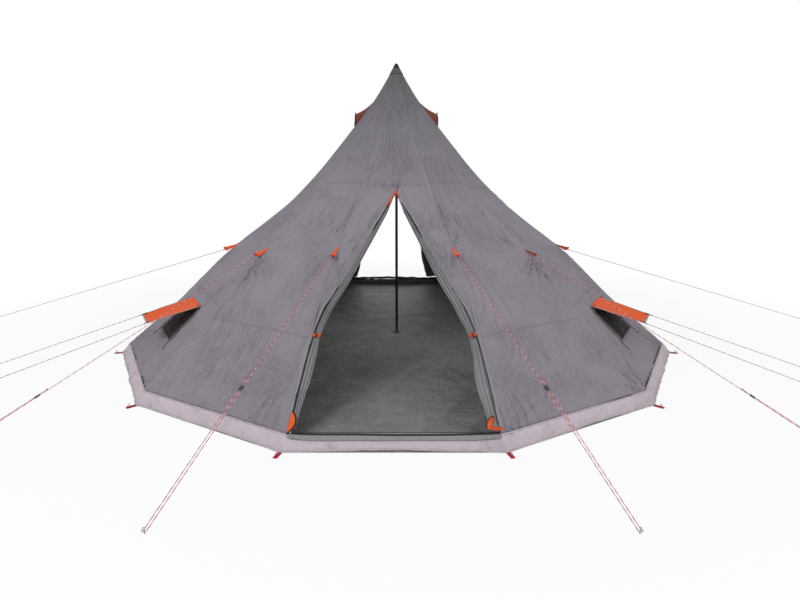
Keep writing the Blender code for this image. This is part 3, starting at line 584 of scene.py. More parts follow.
def pulled(middle, across, up, width, seed):
    """Folds at the guy tabs, the foot of each seam, the window and the door."""
    out = 0.0
    for sign in (-1.0, 1.0):
        seam = abs(middle + GORE_HALF_ANGLE * sign)
        over = sign * (across - sign * width / 2.0)
        foot = up - slope_length(WALL_BOTTOM)
        out = out + TAB_FOLDS * fan(-over + 0.01, foot + 0.01, 0.26, 26.0, seed + sign)
        for key, azimuth in TAB_SEAMS.items():
            if abs(seam - azimuth) < 1.0:
                rise = up - slope_length(TAB_HEIGHTS[key] - 0.02)
                star = fan(-over + 0.004, rise, 0.26, 28.0, seed + 3.0 * sign, 0.14)
                out = out + TAB_FOLDS * star
    edge = math.copysign(1.0, middle)
    if abs(middle) == 30.0:
        for depth, tab, tab_side, (x, y), aim, half, length, count, phase in BUNDLES:
            if tab:
                x = x + tab_side * seam_half(TAB_HEIGHTS[tab])
                y = y + slope_length(TAB_HEIGHTS[tab])
            aim = (edge * aim[0], aim[1])
            folds = bundle(across, up, (edge * x, y), aim, half, length, count, phase)
            out = out + depth * folds
    if abs(middle) == WINDOW_GORE:
        shift = WINDOW_SHIFT * edge
        for corner in (-1.0, 1.0):
            over = corner * (across - shift - corner * AWNING_WALL_HALF)
            above = up - slope_length(HINGE_HEIGHT)
            out = out + WINDOW_FOLDS * fan(over, above, 0.13, 18.0, seed + corner)
            over = corner * (across - shift - corner * WINDOW_BOTTOM_HALF)
            above = up - slope_length(WINDOW_BOTTOM)
            out = out + WINDOW_FOLDS * fan(over, above, 0.12, 18.0, seed - corner)
        crumple = np.exp(-(((across + edge * 0.40) / 0.15) ** 2) - (((up - 0.22) / 0.16) ** 2))
        out = out + 0.0230 * crumple * CRUSH(across * 20.0, up * 18.0)
    return out


def seam_half(height):
    return float(seam_radius(height)) * math.sin(HALF_GORE)


def crease(middle, share, height, width):
    """Distance by which the cloth stands out of its smooth form."""
    across = (share - 0.5) * width
    up = slope_length(height)
    edge = np.minimum(share, 1.0 - share) * width
    seed = middle * 0.37
    worst = patches(across, up, seed)
    out = 0.0075 * BROAD(across * 2.3 + seed, up * 1.9 + seed) * np.minimum(edge / 0.15, 1.0)
    out = out + 0.0024 * BROAD(across * 8.0 - seed, up * 4.5 + seed)
    long = LONG(across * 11.0 + 0.8 * BROAD(up * 2.0, seed), up * 1.5 - seed)
    out = out + 0.0062 * (0.12 + worst) * fold(long)
    near = np.exp(-(((edge - 0.045) / 0.06) ** 2))
    out = out + 0.0048 * near * (0.2 + worst) * fold(LONG(edge * 22.0 + seed, up * 2.4 + seed))
    out = out + 0.0034 * worst * CRUSH(across * 22.0 + seed, up * 13.0)
    pucker = np.exp(-edge / 0.020)
    out = out + 0.0012 * pucker * np.sin(up * 150.0 + 3.0 * FINE(up * 9.0, seed))
    out = out + pulled(middle, across, up, width, seed)
    if middle in DOOR_GORES:
        out = out + door_creases(across, height, up)
    return out * np.minimum(edge / 0.016, 1.0)


def door_creases(across, height, up):
    """Folds that run up from the door's top and along its two edges."""
    level = slope_length(DOOR_TOP)
    rise = up - level
    star = fan(rise, across, 0.22, 22.0, 4.0, 0.05)
    out = 0.0130 * star * np.clip((rise + 0.02) / 0.03, 0.0, 1.0)
    out = out + 0.0046 * bundle(across, up, (0.0, level + 0.34), (0.0, 1.0), 0.17, 0.34, 9.0, 0.7)
    beside = np.abs(across) - door_half(height)
    along = np.exp(-(((beside - 0.030) / 0.045) ** 2)) * (height < DOOR_TOP)
    along = along * np.clip((DOOR_TOP - height) / 0.15, 0.0, 1.0)
    return out + 0.0095 * along * fold(np.sin(beside * 62.0 + 1.2 * LONG(up * 3.0, 2.0)), 1.4)


def skin(middle, share, height, lift=0.0):
    """The cloth's outer side, wrinkles included, and how wide the gore is there."""
    share, height = np.broadcast_arrays(np.asarray(share, float), np.asarray(height, float))
    place, width = gore_base(middle, share, height)
    step = 0.002
    above, _ = gore_base(middle, share, np.minimum(height + step, WALL_TOP))
    below, _ = gore_base(middle, share, np.maximum(height - step, WALL_BOTTOM))
    right, _ = gore_base(middle, share + step, height)
    left, _ = gore_base(middle, share - step, height)
    normal = unit(np.cross(right - left, above - below))
    return place + normal * (crease(middle, share, height, width) + lift)[..., None], width


def wall_distance(middle, across, height):
    """How far out the gore's smooth outer side stands."""
    across, height = np.broadcast_arrays(np.asarray(across, float), np.asarray(height, float))
    place, _ = gore_base(middle, share_at(middle, across, height), height)
    return place @ direction(middle)


# Cords: the routes of the part's source

HINGE_DISTANCE = 1.77599  # where the straight wall of the CAD model has the hinge line


def awning_axes(side):
    middle = side * WINDOW_GORE
    outward, across = direction(middle), lateral(middle)
    along = outward * math.cos(AWNING_DROOP) - UP * math.sin(AWNING_DROOP)
    normal = outward * math.sin(AWNING_DROOP) + UP * math.cos(AWNING_DROOP)
    return across, along, normal


def awning_hinge(side):
    middle = side * WINDOW_GORE
    out = direction(middle) * HINGE_DISTANCE + lateral(middle) * (WINDOW_SHIFT * side)
    return out + UP * HINGE_HEIGHT


CORD_STARTS = {
    "front": (0.4321, -1.3367, 0.9361),
    "middle": (1.0310, -1.0308, 0.8929),
    "side": (1.4594, -0.3900, 0.8500),
    "awning_near": (1.8354, -1.1542, 0.4090),
    "awning_far": (1.9779, -0.9082, 0.4089),
}


def line_axes(side, key):
    start = np.array(CORD_STARTS[key]) * (side, 1.0, 1.0)
    share, azimuth = PEGS[key]
    turning = direction(side * azimuth) * RADIUS * share + UP * CORD_HEIGHT
    down = unit(turning - start)
    sideways = unit(np.cross(down, UP)) * side
    return start, turning, down, sideways


def line_route(side, key):
    """Down one strand, round the peg and back up beside it."""
    start, peg, down, sideways = line_axes(side, key)
    half = CORD_PITCH / 2.0
    lower = peg + sideways * half
    points = [start + (lower - start) * step / 9.0 for step in range(10)]
    strand = unit(lower - start)
    for step in range(1, 6):
        turn = math.pi * step / 6.0
        points.append(peg + sideways * half * math.cos(turn) + down * half * math.sin(turn))
    back = RETURN_LENGTH
    if key in RUNNERS:
        back = RUNNERS[key] * RADIUS + RUNNER_LENGTH + RUNNER_TAIL
    far = peg - sideways * half
    points += [far - strand * back * step / 4.0 for step in range(5)]
    return np.array(points)


def refined(points, step=0.008):
    """The same route with points closer together on its straight stretches."""
    found = [points[0]]
    for here, there in zip(points, points[1:]):
        count = max(1, int(round(np.linalg.norm(there - here) / step)))
        found += [here + (there - here) * i / count for i in range(1, count + 1)]
    return np.array(found)


# Materials


class Tree:
    """Short calls for a material's nodes."""

    def __init__(self, name):
        self.material = bpy.data.materials.new(name)
        self.material.use_nodes = True
        self.tree = self.material.node_tree
        self.shader = self.tree.nodes["Principled BSDF"]
        self.object = self.add("ShaderNodeTexCoord").outputs["Object"]
        self.uv = self.add("ShaderNodeUVMap").outputs["UV"]

    def add(self, kind, **settings):
        made = self.tree.nodes.new(kind)
        for key, value in settings.items():
            setattr(made, key, value)
        return made

    def link(self, source, target):
        self.tree.links.new(source, target)

    def give(self, target, value):
        if isinstance(value, bpy.types.NodeSocket):
            self.link(value, target)
        else:
            target.default_value = value

    def math(self, operation, a, b=0.0, c=None, clamp=False):
        made = self.add("ShaderNodeMath", operation=operation, use_clamp=clamp)
        self.give(made.inputs[0], a)
        self.give(made.inputs[1], b)
        if c is not None:
            self.give(made.inputs[2], c)
        return made.outputs[0]

    def split(self, vector):
        made = self.add("ShaderNodeSeparateXYZ")
        self.link(vector, made.inputs[0])
        return made.outputs

    def scaled(self, vector, scale):
        made = self.add("ShaderNodeVectorMath", operation="MULTIPLY")
        self.link(vector, made.inputs[0])
        made.inputs[1].default_value = scale if hasattr(scale, "__len__") else (scale,) * 3
        return made.outputs[0]

    def noise(self, vector, scale, detail=3.0, rough=0.55, distortion=0.0):
        made = self.add("ShaderNodeTexNoise")
        self.link(vector, made.inputs["Vector"])
        made.inputs["Scale"].default_value = scale
        made.inputs["Detail"].default_value = detail
        made.inputs["Roughness"].default_value = rough
        made.inputs["Distortion"].default_value = distortion
        return made.outputs["Fac"]

    def ramp(self, value, *stops):
        made = self.add("ShaderNodeValToRGB")
        self.link(value, made.inputs[0])
        ramp = made.color_ramp
        while len(ramp.elements) < len(stops):
            ramp.elements.new(0.5)
        for element, (place, colour) in zip(ramp.elements, stops):
            element.position = place
            shade = colour if hasattr(colour, "__len__") else (colour,) * 3
            element.color = (*shade, 1.0)
        return made.outputs[0]

    def mix(self, kind, factor, a, b):
        made = self.add("ShaderNodeMix", data_type="RGBA", blend_type=kind)
        self.give(made.inputs[0], factor)
        for socket, value in ((made.inputs[6], a), (made.inputs[7], b)):
            if isinstance(value, bpy.types.NodeSocket):
                self.link(value, socket)
            else:
                socket.default_value = (*value, 1.0)
        return made.outputs[2]

    def shade(self, base, factor, value, *stops):
        """Darkens a colour by a ramp over a value."""
        return self.mix("MULTIPLY", factor, base, self.ramp(value, *stops))

    def wave(self, value, rate, kind="SINE"):
        return self.math(kind, self.math("MULTIPLY", value, rate))

    def crossed(self, a, b):
        """The product of two waves, between 0 and 1."""
        return self.math("MULTIPLY_ADD", self.math("MULTIPLY", a, b), 0.5, 0.5)

    def between(self, value, low, high):
        """A node that reads how far a value is from low to high."""
        made = self.add("ShaderNodeMapRange")
        self.link(value, made.inputs[0])
        made.inputs[1].default_value, made.inputs[2].default_value = low, high
        return made

    def bump(self, height, distance, strength=1.0, normal=None):
        made = self.add("ShaderNodeBump")
        made.inputs["Strength"].default_value = strength
        made.inputs["Distance"].default_value = distance
        self.link(height, made.inputs["Height"])
        if normal is not None:
            self.link(normal, made.inputs["Normal"])
        return made.outputs[0]

    def finish(self, colour, roughness, normal=None, **settings):
        """The material; a setting is an input of the shader, with _ for a space."""
        if not isinstance(colour, bpy.types.NodeSocket):
            colour = (*colour, 1.0)
        self.give(self.shader.inputs["Base Color"], colour)
        self.give(self.shader.inputs["Roughness"], roughness)
        if normal is not None:
            self.link(normal, self.shader.inputs["Normal"])
        for key, value in settings.items():
            self.shader.inputs[key.replace("_", " ")].default_value = value
        return self.material


def shaded(colour, share):
    return tuple(c * share for c in colour)


def weave(tree, pitch):
    """Height of a plain weave in metres of UV."""
    across = tree.split(tree.uv)
    turn = 2.0 * math.pi / pitch
    return tree.crossed(tree.wave(across[0], turn), tree.wave(across[1], turn))


def crinkled(tree, depth, normal, stretch, patch=2.3):
    """Sharp little folds that lie mostly along V, in patches: stretch is their number per metre."""
    wide = tree.noise(tree.scaled(tree.uv, (*stretch, 1.0)), 1.0, 3.0, 0.55, 1.1)
    finer = (stretch[0] * 1.9, stretch[1] * 2.6, 1.0)
    narrow = tree.noise(tree.scaled(tree.uv, finer), 1.0, 2.0, 0.5, 1.6)
    sharp = tree.math("ABSOLUTE", tree.math("SUBTRACT", wide, 0.5))
    both = tree.math("MULTIPLY_ADD", narrow, 0.35, tree.math("MULTIPLY", sharp, 2.0))
    place = tree.ramp(tree.noise(tree.object, patch, 3.0, 0.6, 0.5), (0.38, 0.12), (0.62, 1.0))
    return tree.bump(tree.math("MULTIPLY", both, place), depth, 1.0, normal)


def peak_darkened(tree, base, fade):
    """Darker towards the peak, which on the canopy's cloth and seam tapes is painted shade: fade is
    the lowest and highest level and the ramp's stops.
    """
    if fade is None:
        return base
    low, high, stops = fade
    level = tree.between(tree.split(tree.object)[2], low, high)
    return tree.shade(base, 1.0, level.outputs[0], *stops)


CLOTH_PITCH = 0.0011
GRIME_TOP = 0.10
GRIME = (0.42, 0.38, 0.34)


def cloth(name, colour, tint=(1.0, 1.0, 1.0), spread=0.10, crumple=0.0012, roughness=0.72,
          sheen=0.04, fade=None, grime=0.0, crinkles=0.0, stretch=(30.0, 8.0)):
    """Woven polyester: threads, slubs, uneven dye, small crumples and sheen."""
    t = Tree(name)
    threads = weave(t, CLOTH_PITCH)
    slub = t.noise(t.scaled(t.uv, (900.0, 60.0, 1.0)), 1.0, 2.0)
    patches = t.noise(t.object, 2.6, 4.0, 0.6, 0.4)
    mottle = t.noise(t.object, 17.0, 3.0, 0.6)
    pale = tuple(c * (1.0 + spread) * k for c, k in zip(colour, tint))
    base = t.mix("MIX", t.math("MULTIPLY", patches, 0.9), shaded(colour, 1.0 - spread), pale)
    base = t.shade(base, 1.0, mottle, (0.30, 0.955), (0.70, 1.0))
    base = t.shade(base, 0.6, threads, (0.0, 0.90), (1.0, 1.0))
    base = t.shade(base, 0.5, slub, (0.30, 0.93), (0.75, 1.0))
    base = peak_darkened(t, base, fade)
    if grime:
        dirt = t.noise(t.object, 6.0, 6.0, 0.7)
        low_down = t.between(t.split(t.object)[2], GRIME_TOP, 0.0).outputs[0]
        stain = t.math("MULTIPLY", t.math("MULTIPLY", low_down, dirt, clamp=True), grime)
        base = t.mix("MULTIPLY", stain, base, GRIME)
    wrinkle = t.noise(t.object, 26.0, 4.0, 0.55, 0.8)
    crushed = t.noise(t.object, 70.0, 3.0, 0.6, 1.2)
    normal = t.bump(threads, 0.00012, 0.6)
    normal = t.bump(crushed, crumple * 0.35, 0.8, normal)
    normal = t.bump(wrinkle, crumple, 0.9, normal)
    if crinkles:
        normal = crinkled(t, crinkles, normal, stretch)
    rough = t.math("MULTIPLY_ADD", mottle, 0.14, roughness - 0.07)
    return t.finish(base, rough, normal,
                    Sheen_Weight=sheen, Sheen_Roughness=0.5, Specular_IOR_Level=0.22)


STITCH_HALF = 0.00055
STITCH_PITCH = 0.0042


def webbing(name, colour, pitch=0.0026, stitches=(), stitch_colour=None, depth=0.8, fade=None):
    """Woven tape: slanted ribs along it and, where given, lines of stitches."""
    t = Tree(name)
    u, v, _ = t.split(t.uv)
    ribs = t.wave(t.math("ADD", v, t.math("ABSOLUTE", u)), 2.0 * math.pi / pitch)
    height = t.crossed(ribs, t.wave(u, 2.0 * math.pi / (pitch * 0.8)))
    wear = t.noise(t.object, 60.0, 4.0, 0.65)
    base = t.mix("MULTIPLY", depth, colour, t.ramp(height, (0.0, 0.62), (1.0, 1.0)))
    base = t.shade(base, depth, wear, (0.30, 0.75), (0.70, 1.0))
    normal = t.bump(height, 0.00035, 0.8)
    for place in stitches:
        beside = t.math("LESS_THAN", t.math("ABSOLUTE", t.math("SUBTRACT", u, place)), STITCH_HALF)
        dash = t.math("GREATER_THAN", t.wave(v, 2.0 * math.pi / STITCH_PITCH), -0.45)
        thread = t.math("MULTIPLY", beside, dash)
        base = t.mix("MIX", t.math("MULTIPLY", thread, 0.85), base, stitch_colour)
        normal = t.bump(thread, 0.0004, 0.7, normal)
    rough = t.math("MULTIPLY_ADD", wear, 0.15, 0.66)
    return t.finish(peak_darkened(t, base, fade), rough, normal, Sheen_Weight=0.04, Specular_IOR_Level=0.25)


def plastic(name, colour, roughness=0.42):
    t = Tree(name)
    pores = t.noise(t.object, 900.0, 2.0)
    scuffs = t.noise(t.scaled(t.object, (1.0, 1.0, 5.0)), 120.0, 5.0, 0.7)
    pale = tuple(c * 1.9 + 0.012 for c in colour)
    base = t.mix("MIX", t.ramp(scuffs, (0.52, 0.0), (0.72, 1.0)), colour, pale)
    rough = t.math("MULTIPLY_ADD", scuffs, 0.22, roughness - 0.10)
    return t.finish(base, rough, t.bump(pores, 0.00012, 0.6))


def metal(name, colour, roughness, metallic=1.0):
    t = Tree(name)
    brushed = t.noise(t.scaled(t.object, (1.0, 1.0, 9.0)), 260.0, 3.0, 0.6)
    stains = t.noise(t.object, 40.0, 5.0, 0.65)
    base = t.mix("MULTIPLY", 0.25, colour, t.ramp(stains, (0.35, 0.45), (0.65, 1.0)))
    rough = t.math("MULTIPLY_ADD", brushed, 0.22, roughness - 0.08)
    return t.finish(base, rough, t.bump(brushed, 0.00008, 0.5), Metallic=metallic)


def painted_tube(name):
    """Powder-coated pole: orange peel, fine scratches along it, bare metal where it rubs."""
    t = Tree(name)
    peel = t.noise(t.object, 420.0, 2.0)
    scratch = t.noise(t.scaled(t.object, (60.0, 60.0, 2.2)), 9.0, 5.0, 0.75)
    worn = t.ramp(scratch, (0.63, 0.0), (0.70, 1.0))
    base = t.mix("MIX", t.math("MULTIPLY", worn, 0.5), (0.014, 0.014, 0.015), (0.16, 0.16, 0.17))
    rough = t.math("MULTIPLY_ADD", peel, 0.16, 0.30)
    return t.finish(base, rough, t.bump(peel, 0.00010, 0.5), Metallic=0.35)


def netting(name, pitch=0.0028, wire=0.34, least=0.84):
    """Insect mesh: its holes let light through, and least is their opacity."""
    t = Tree(name)
    u, v, _ = t.split(t.uv)
    threads = [t.math("ABSOLUTE", t.wave(value, math.pi / pitch, "COSINE")) for value in (u, v)]
    lines = t.math("MAXIMUM", *threads)
    solid = t.math("GREATER_THAN", lines, math.cos(math.pi * wire / 2.0))
    shade = t.noise(t.object, 30.0, 3.0)
    base = t.mix("MIX", shade, (0.009, 0.005, 0.007), (0.018, 0.011, 0.014))
    t.link(t.math("MAXIMUM", solid, least), t.shader.inputs["Alpha"])
    return t.finish(base, 0.85, t.bump(lines, 0.0003, 0.5))


BRAID = 0.009
TRACER = 0.045


def cord_cloth(name, colours, shadow):
    """Braided reflective cord: red threads with a dark and a pale tracer."""
    t = Tree(name)
    u, v, _ = t.split(t.uv)
    round_it = t.math("MULTIPLY", u, 8.0 * math.pi)
    along = t.math("MULTIPLY", v, 8.0 * math.pi / BRAID)
    one, two = (t.math("SINE", t.math(kind, round_it, along)) for kind in ("ADD", "SUBTRACT"))
    height = t.crossed(one, two)
    turn = 2.0 * math.pi
    spiral = t.math("ADD", t.math("MULTIPLY", u, turn), t.math("MULTIPLY", v, turn / TRACER))
    tracer = t.math("SINE", spiral)
    dark = t.math("GREATER_THAN", tracer, shadow)
    pale = t.math("LESS_THAN", tracer, -0.80)
    base = t.mix("MIX", t.noise(t.object, 40.0, 3.0), *colours)
    base = t.mix("MIX", dark, base, (0.16, 0.040, 0.058))
    base = t.mix("MIX", pale, base, (0.86, 0.66, 0.68))
    base = t.shade(base, 0.6, height, (0.0, 0.55), (1.0, 1.0))
    return t.finish(base, 0.62, t.bump(height, 0.0003, 0.7), Sheen_Weight=0.2)


CANOPY = (0.252, 0.230, 0.264)
INSIDE = (0.108, 0.108, 0.112)
SKIRT = (0.585, 0.508, 0.562)
FLOOR = (0.204, 0.209, 0.203)
ORANGE = (0.760, 0.098, 0.018)
FLAP = (0.252, 0.252, 0.260)

# Painted shade towards the peak: the lowest and highest level, and the ramp between them
PEAK_SHADE = (
    1.20,
    2.40,
    (
        (0.0, 1.0),
        (0.42, (0.83, 0.84, 0.83)),
        (0.70, (0.62, 0.64, 0.62)),
        (0.88, (0.46, 0.51, 0.47)),
        (1.0, (0.38, 0.43, 0.39)),
    ),
)
CAP_FADE = (2.30, 2.40, ((0.0, 1.0), (0.58, 1.0), (0.64, 0.13), (1.0, 0.13)))
RED_CORD = ((0.66, 0.075, 0.125), (0.80, 0.14, 0.20))
DARK_CORD = ((0.34, 0.06, 0.09), (0.46, 0.11, 0.14))
DARK_STITCH = (0.014, 0.014, 0.015)
RED_STITCH = (0.72, 0.11, 0.11)
BLACK = (0.012, 0.012, 0.013)

LOOKS = {
    # The outside cloth, the seam tapes and the felled seams below are darkened towards the peak
    # with painted shade
    "outside": cloth("tent_cloth", CANOPY, (1.0, 0.99, 1.01), crumple=0.0018, fade=PEAK_SHADE,
                     crinkles=0.0190),
    "inside": cloth("tent_cloth_inside", INSIDE, roughness=0.6, sheen=0.02),
    "tape": webbing("seam_tape", shaded(CANOPY, 1.10), 0.0016, (-0.0062, 0.0062),
                    shaded(CANOPY, 1.20), 0.35, PEAK_SHADE),
    "fell": webbing("felled_seam", shaded(CANOPY, 0.88), 0.0016, (-0.0030, 0.0030),
                    shaded(CANOPY, 1.05), 0.35, PEAK_SHADE),
    "skirt": cloth("skirt_cloth", SKIRT, (1.0, 0.98, 1.0), 0.07, 0.0030, 0.66, grime=0.5,
                   crinkles=0.0200, stretch=(16.0, 9.0)),
    "skirt_back": cloth("skirt_cloth_back", (0.07, 0.08, 0.075), roughness=0.6),
    "skirt_hem": webbing("skirt_hem_tape", shaded(SKIRT, 0.97), 0.0018, (-0.0045, 0.0045),
                         shaded(SKIRT, 0.7)),
    "flap": cloth("flap_cloth", FLAP, crumple=0.0018, crinkles=0.0080),
    "flap_back": cloth("flap_cloth_back", (0.150, 0.152, 0.156), crumple=0.0018),
    "orange": cloth("orange_cloth", ORANGE, (1.0, 1.15, 1.2), 0.08, 0.0011, sheen=0.02),
    "orange_back": cloth("orange_cloth_back", (0.56, 0.090, 0.020), crumple=0.0011, sheen=0.02),
    "hood": cloth("hood_cloth", (0.180, 0.038, 0.018), crumple=0.0011, sheen=0.02),
    "orange_tape": webbing("orange_tape", (0.70, 0.105, 0.022), 0.0022),
    "awning_hem": webbing("awning_hem_tape", (0.42, 0.40, 0.42), 0.0020),
    "window_tape": webbing("window_tape", shaded(CANOPY, 0.82), 0.0018, (-0.0058, 0.0058),
                           DARK_STITCH),
    "black_tape": webbing("black_tape", BLACK, 0.0022),
    "red_tape": webbing("red_tape", (0.56, 0.010, 0.034), 0.0022, (-0.0085, 0.0085), RED_STITCH),
    "cap": cloth("cap_cloth", (0.078, 0.078, 0.080), crumple=0.0008, sheen=0.02, fade=CAP_FADE),
    "black": plastic("black_plastic", BLACK),
    "net": netting("insect_mesh"),
    "pole": painted_tube("coated_pole"),
    "cord": cord_cloth("guy_cord", RED_CORD, 0.66),
    "thin_cord": cord_cloth("guy_cord_thin", DARK_CORD, 0.10),
    "peg": metal("peg_wire", (0.46, 0.46, 0.47), 0.32),
    "zip": metal("zip_slider_metal", (0.72, 0.72, 0.70), 0.34, 0.9),
    "pull": plastic("pull_tape", (0.62, 0.58, 0.56), 0.5),
}


def floor_cloth():
    """Coated groundsheet: fold lines from the pack, dull sheen, dust and patches of painted shade
    that stand in for its crumples.
    """
    t = Tree("groundsheet_cloth")
    threads = weave(t, 0.0014)
    patches = t.noise(t.object, 1.3, 5.0, 0.6, 0.6)
    dust = t.noise(t.object, 9.0, 6.0, 0.7, 0.4)
    dusty = t.ramp(patches, (0.32, 0.0), (0.70, 1.0))
    base = t.mix("MIX", dusty, shaded(FLOOR, 0.78), shaded(FLOOR, 1.20))
    base = t.mix("MIX", t.ramp(dust, (0.45, 0.0), (0.85, 0.35)), base, (0.20, 0.20, 0.19))
    # Painted shade: blotches of darker and lighter colour that stand in for the shading of small
    # crumples
    crumple_shade = t.noise(t.object, 6.5, 3.0, 0.65, 1.4)
    base = t.shade(base, 1.0, crumple_shade, (0.36, 0.80), (0.64, 1.12))
    base = t.shade(base, 0.6, threads, (0.0, 0.82), (1.0, 1.0))
    streaks = t.noise(t.scaled(t.object, (3.0, 4.6, 1.0)), 2.4, 5.0, 0.62, 1.6)
    slanted = t.noise(t.scaled(t.object, (5.0, 6.0, 1.0)), 3.6, 4.0, 0.6, 2.2)
    crushed = t.noise(t.object, 30.0, 5.0, 0.65, 1.5)
    normal = t.bump(threads, 0.00015, 0.5)
    normal = t.bump(crushed, 0.0060, 0.9, normal)
    normal = t.bump(slanted, 0.0140, 0.8, normal)
    normal = t.bump(streaks, 0.0200, 0.8, normal)
    rough = t.math("MULTIPLY_ADD", dust, 0.25, 0.38)
    return t.finish(base, rough, normal, Specular_IOR_Level=0.4)


LOOKS["floor"] = floor_cloth()

# Guy lines, first of the pieces


def knot_mesh(centre, axis, size):
    """An overhand knot as a small trefoil of the same cord."""
    turn = np.linspace(0.0, 2.0 * math.pi, 60, endpoint=False)
    axis = unit(axis)
    side = unit(np.cross(axis, UP))
    lift = np.cross(side, axis)
    x = np.sin(turn) + 2.0 * np.sin(2.0 * turn)
    y = np.cos(turn) - 2.0 * np.cos(2.0 * turn)
    z = -np.sin(3.0 * turn)
    path = centre + (x[:, None] * side + y[:, None] * lift) * size / 3.0
    path = path + z[:, None] * axis * size / 1.6
    return tube_mesh(np.concatenate([path, path[:2]]), CORD / 2.0 * 0.92, 8, capped=False)


def add_line(side, name, key):
    """A guy line, with a knot at each end."""
    label = "guy_line_%s_%s" % (key, name)
    route = line_route(side, key)
    path = refined(route)
    strand = unit(route[9] - route[0])
    knots = [knot_mesh(route[0] + strand * 0.010, strand, KNOT)]
    if key in RUNNERS:
        knots.append(knot_mesh(route[-1] - strand * 0.001, strand, KNOT))
    else:
        tied = (route[-1] + route[0] + strand * np.dot(route[-1] - route[0], strand)) / 2.0
        knots.append(knot_mesh(tied, strand, PEG_KNOT))
    made = add_tube(label, path, CORD / 2.0, 10)
    ends = joined("knots_%s_%s" % (key, name), knots)
    for piece in (made, ends):
        paint(piece, LOOKS["cord" if key in ("front", "middle") else "thin_cord"])
    if key.startswith("awning"):
        for piece in (made, ends):
            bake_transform(piece)
        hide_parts(label)
        made.name = label + "_visual"
    else:
        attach(ends, "tent")
        settle(made, "cord", "tent", label)


KNOT = 0.0042
PEG_KNOT = 0.0050
for side_name, side_sign in SIDES:
    for line_key in PEGS:
        add_line(side_sign, side_name, line_key)

# Canopy

ROW_STEP = 0.0110
CLOTH_SHOWN = 0.0012


def gore_rows(*breaks):
    marks = [WALL_BOTTOM, *sorted(breaks), WALL_TOP]
    rows = [WALL_BOTTOM]
    for low, high in zip(marks, marks[1:]):
        count = max(2, int(round((high - low) / ROW_STEP)))
        rows += list(low + (high - low) * np.arange(1, count + 1) / count)
    return np.array(rows)


def spread_columns(low, high, outer, inner):
    """Column shares for each row: a side, the opening's width and the other side."""
    left = np.linspace(0.0, 1.0, outer + 1)[None, :] * low[:, None]
    middle = low[:, None] + (high - low)[:, None] * np.linspace(0.0, 1.0, inner + 1)[None, 1:]
    right = high[:, None] + (1.0 - high)[:, None] * np.linspace(0.0, 1.0, outer + 1)[None, 1:]
    return np.concatenate([left, middle, right], axis=1)


def relaxed(value, target, distance, over):
    """Moves from value to target as the distance grows."""
    return target + (value - target) * np.exp(-np.maximum(distance, 0.0) / over)


def window_half(drop):
    """Half the window's width at a share of the way down it."""
    return WINDOW_TOP_HALF + (WINDOW_BOTTOM_HALF - WINDOW_TOP_HALF) * drop


def opening_columns(middle, rows):
    """The columns of a gore and the cells that its opening leaves out."""
    side = math.copysign(1.0, middle)
    half = seam_radius(rows) * math.sin(HALF_GORE)
    outer, inner = 34, 30
    if middle in DOOR_GORES:
        bottom, top = (REAR_SILL if middle else WALL_BOTTOM), DOOR_TOP
        sill = door_half(np.minimum(rows, top))
        reach = np.where(rows <= top, sill, 0.45 * half * (1.0 - np.exp(-(rows - top) / 0.16)))
        low, high = share_at(middle, -reach, rows), share_at(middle, reach, rows)
        outer, inner = 38, 36
    elif abs(middle) == WINDOW_GORE:
        bottom, top = WINDOW_BOTTOM, WINDOW_TOP
        drop = np.clip((top - rows) / (top - bottom), 0.0, 1.0)
        reach = window_half(drop)
        low = share_at(middle, WINDOW_SHIFT * side - reach, rows)
        high = share_at(middle, WINDOW_SHIFT * side + reach, rows)
        away = np.where(rows > top, rows - top, np.maximum(bottom - rows, 0.0))
        low, high = relaxed(low, 0.30, away, 0.15), relaxed(high, 0.70, away, 0.15)
    elif abs(middle) == VENT_GORE:
        bottom, top = VENT_BOTTOM, VENT_TOP
        reach = VENT_HALF * np.clip((top - rows) / (top - bottom), 0.0, 1.0)
        reach = np.where(rows > top, 0.3 * half * (1.0 - np.exp(-(rows - top) / 0.05)), reach)
        low, high = share_at(middle, -reach, rows), share_at(middle, reach, rows)
        away = np.maximum(bottom - rows, 0.0)
        low, high = relaxed(low, 0.35, away, 0.12), relaxed(high, 0.65, away, 0.12)
    else:
        shares = np.tile(np.linspace(0.0, 1.0, 113), (len(rows), 1))
        return shares, np.ones((len(rows) - 1, shares.shape[1] - 1), bool)
    shares = spread_columns(low, high, outer, inner)
    keep = np.ones((len(rows) - 1, shares.shape[1] - 1), bool)
    centre = (rows[:-1] + rows[1:]) / 2.0
    gone = (centre > bottom) & (centre < top)
    keep[np.ix_(gone, np.arange(outer, outer + inner))] = False
    return shares, keep


BREAKS = {
    0.0: (DOOR_TOP,),
    180.0: (REAR_SILL, DOOR_TOP),
    WINDOW_GORE: (WINDOW_BOTTOM, WINDOW_TOP),
    VENT_GORE: (VENT_BOTTOM, VENT_TOP),
}


def gore_mesh(middle):
    rows = gore_rows(*BREAKS.get(abs(middle), ()))
    shares, keep = opening_columns(middle, rows)
    heights = np.broadcast_to(rows[:, None], shares.shape)
    points, width = skin(middle, shares, heights)
    uvs = np.stack([(shares - 0.5) * width, slope_length(heights)], -1)
    faces = grid_faces(*shares.shape, keep=keep)
    return points.reshape(-1, 3), faces, uvs.reshape(-1, 2)


GORE_WIDTH = 1.22


def add_wall(name, middles):
    made = weld(joined(name, [gore_mesh(m) for m in middles]))
    thicken(made, CLOTH_SHOWN, 1)
    dress(made, "outside inside", "canopy", "tent", name)
    width, length = GORE_WIDTH * len(middles), SLOPE_LENGTHS[-1]
    if middles[0] in DOOR_GORES:  # the doorway takes half of the gore
        width = width / 2.0


